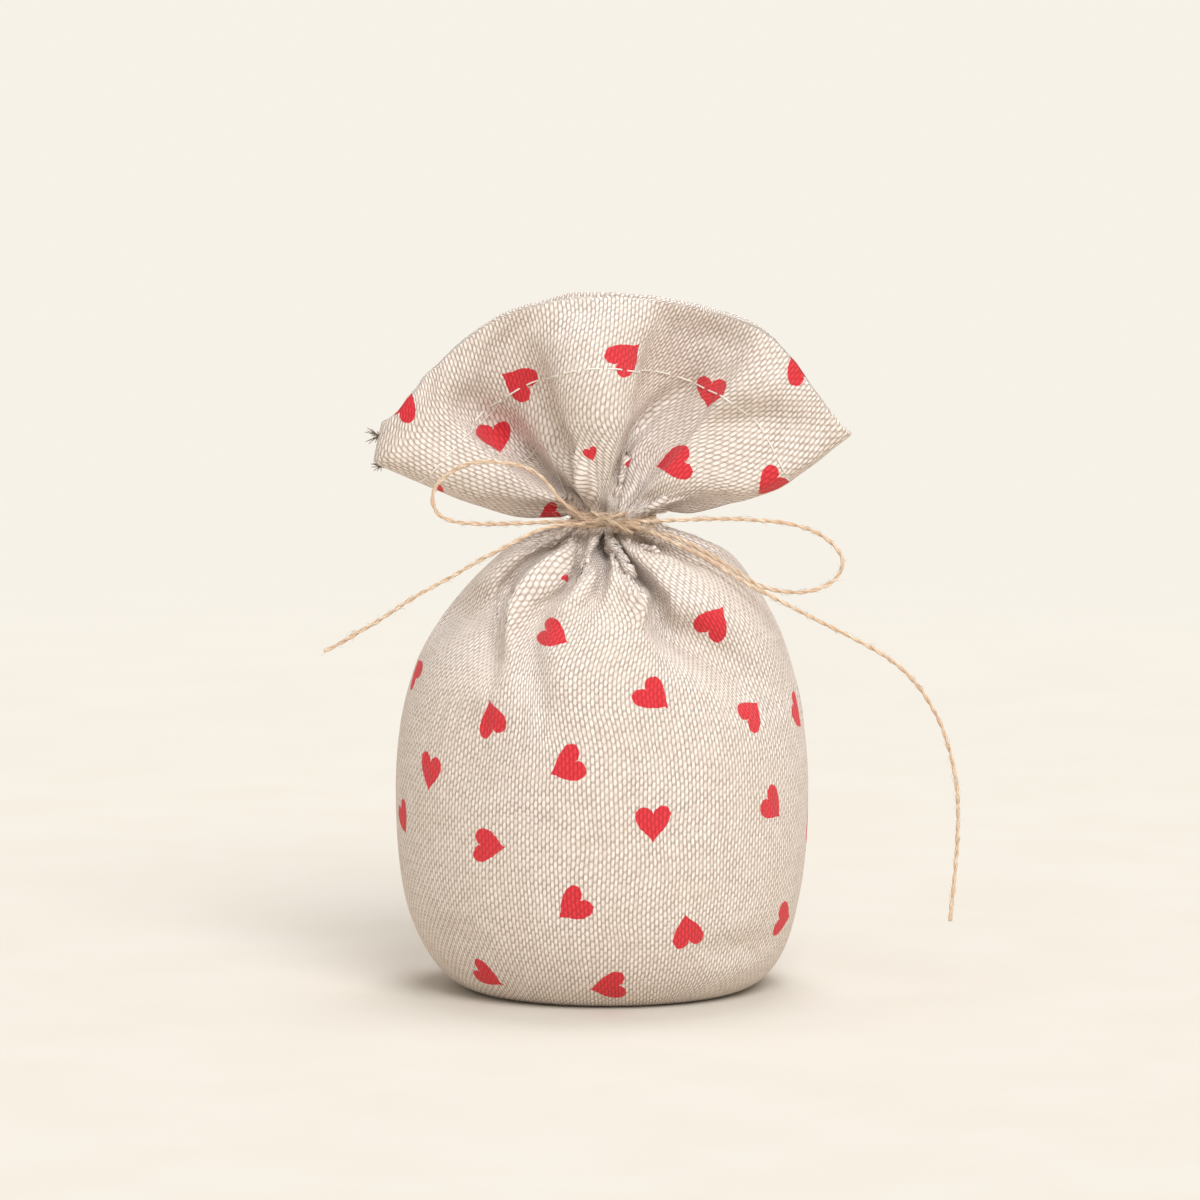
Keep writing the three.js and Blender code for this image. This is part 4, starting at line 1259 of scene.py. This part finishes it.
# Filling. Loose dry contents that hold the body round and fill it up to the gathers. It is poured in, so it
# takes the shape of the cloth round it. It can't be seen, and the grains are a guess.
def grain_finish():
    material, tree, surface = new_finish("loose_grains")
    grains = node(tree, "ShaderNodeTexVoronoi", {"Vector": places_of(tree), "Scale": 420.0}).outputs
    tone = mixed(tree, eased(tree, grains["Distance"], 0.05, 0.6), shade("#d9c8a4"), shade("#8f7a58"))
    tone = mixed(tree, 0.25, tone, grains["Color"], "SOFT_LIGHT")
    finish_surface(tree, surface, tone, grains["Distance"], -0.0006, 1.0, {"Roughness": 0.85})
    return material


filling_top = 84.0
filling_inset = 5.0
filling_floor = 1.2
picked = [row for row in range(0, tie_row, 4) if cloth[row, :, 2].mean() < filling_top]
layers = cloth[picked][:, ::5].copy()
spread = np.hypot(layers[:, :, 0], layers[:, :, 1])
least = np.min([np.roll(spread, step, 1) for step in range(-2, 3)], axis=0)
least = (least + np.roll(least, 1, 1) + np.roll(least, -1, 1)) / 3
layers[:, :, :2] *= ((least - filling_inset) / spread)[:, :, None]
layers[:, :, 2] = np.maximum(layers[:, :, 2] * 0.97, 0) + filling_floor
low = layers[0] * (0.6, 0.6, 1)
middle_low = np.array([(0, 0, filling_floor)])
high = layers[-1] * (0.55, 0.55, 1) + (0, 0, 1.6)
middle_high = np.array([(0, 0, high[:, 2].mean() + 0.6)])
shell = np.concatenate([low[None], layers, high[None]])
height, width = shell.shape[:2]
corner = np.arange(height * width).reshape(height, width)
beside = np.roll(corner, -1, 1)
faces = np.stack([corner[:-1], beside[:-1], beside[1:], corner[1:]], -1).reshape(-1, 4).tolist()
faces += [(beside[0, place], corner[0, place], height * width) for place in range(width)]
faces += [(corner[-1, place], beside[-1, place], height * width + 1) for place in range(width)]
spots = np.concatenate([shell.reshape(-1, 3), middle_low, middle_high]) / 1000
faces = [tuple(int(spot) for spot in face) for face in faces]
filling = new_piece("loose_filling", spots, faces, grain_finish())
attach(filling, "pouch")
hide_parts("filling")


# Floor and light. A plain cream floor that runs up to a cream background. A small light from above and a
# little behind draws the shadow round the foot, a wide one fills the front, and the sky is even.
floor_size = 12
background = "#f7f2e8"


def seen_rays(tree):
    rays = node(tree, "ShaderNodeLightPath").outputs
    mirrored = figure(tree, "MAXIMUM", rays["Is Glossy Ray"], rays["Is Transmission Ray"])
    return figure(tree, "MAXIMUM", rays["Is Camera Ray"], mirrored)


def floor_finish():
    material, tree, surface = new_finish("cream_floor")
    places = places_of(tree)
    grain = noise(tree, places, 30.0, 3.0)
    tone = mixed(tree, eased(tree, grain, 0.3, 0.7), shade("#d8d3ca"), shade("#dad5cd"))
    far = node(tree, "ShaderNodeVectorMath", {0: places}, operation="LENGTH").outputs["Value"]
    seen = seen_rays(tree)
    tree.links.new(mixed(tree, seen, shade("#dad1c3"), tone), surface.inputs["Base Color"])
    surface.inputs["Roughness"].default_value = 0.95
    surface.inputs["Specular IOR Level"].default_value = 0.0
    faded = figure(tree, "MULTIPLY", seen, eased(tree, far, 0.12, 0.9))
    plain = node(tree, "ShaderNodeEmission", {"Color": shade(background), "Strength": 1.0})
    both = node(tree, "ShaderNodeMixShader", {0: faded, 1: surface.outputs[0], 2: plain.outputs[0]})
    tree.links.new(both.outputs[0], tree.nodes["Material Output"].inputs["Surface"])
    return material


bpy.ops.object.select_all(action="DESELECT")
bpy.ops.mesh.primitive_plane_add(size=floor_size, location=(0, 0, 0))
floor = bpy.context.object
floor.name = "cream_floor"
floor.data.materials.append(floor_finish())

sky = bpy.data.worlds.new("even_sky")
sky.use_nodes = True
scene.world = sky
sky_tree = sky.node_tree
light = sky_tree.nodes["Background"]
light.inputs["Color"].default_value = (1.0, 0.945, 0.87, 1)
light.inputs["Strength"].default_value = 0.60
behind = node(sky_tree, "ShaderNodeBackground", {"Color": shade(background), "Strength": 1.0})
inputs = {0: seen_rays(sky_tree), 1: light.outputs[0], 2: behind.outputs[0]}
both = node(sky_tree, "ShaderNodeMixShader", inputs)
sky_tree.links.new(both.outputs[0], sky_tree.nodes["World Output"].inputs["Surface"])

for name, energy, angle, way in (
        ("key_light", 1.05, 24, (0.06, 0.28, 1.0)), ("front_light", 2.00, 34, (0.30, -0.90, 0.92))):
    lamp_data = bpy.data.lights.new(name, "SUN")
    lamp_data.energy = energy
    lamp_data.angle = math.radians(angle)
    lamp_data.color = (0.985, 1.0, 1.01)
    lamp = bpy.data.objects.new(name, lamp_data)
    lamp.rotation_euler = Vector(way).to_track_quat("Z", "Y").to_euler()
    scene.collection.objects.link(lamp)
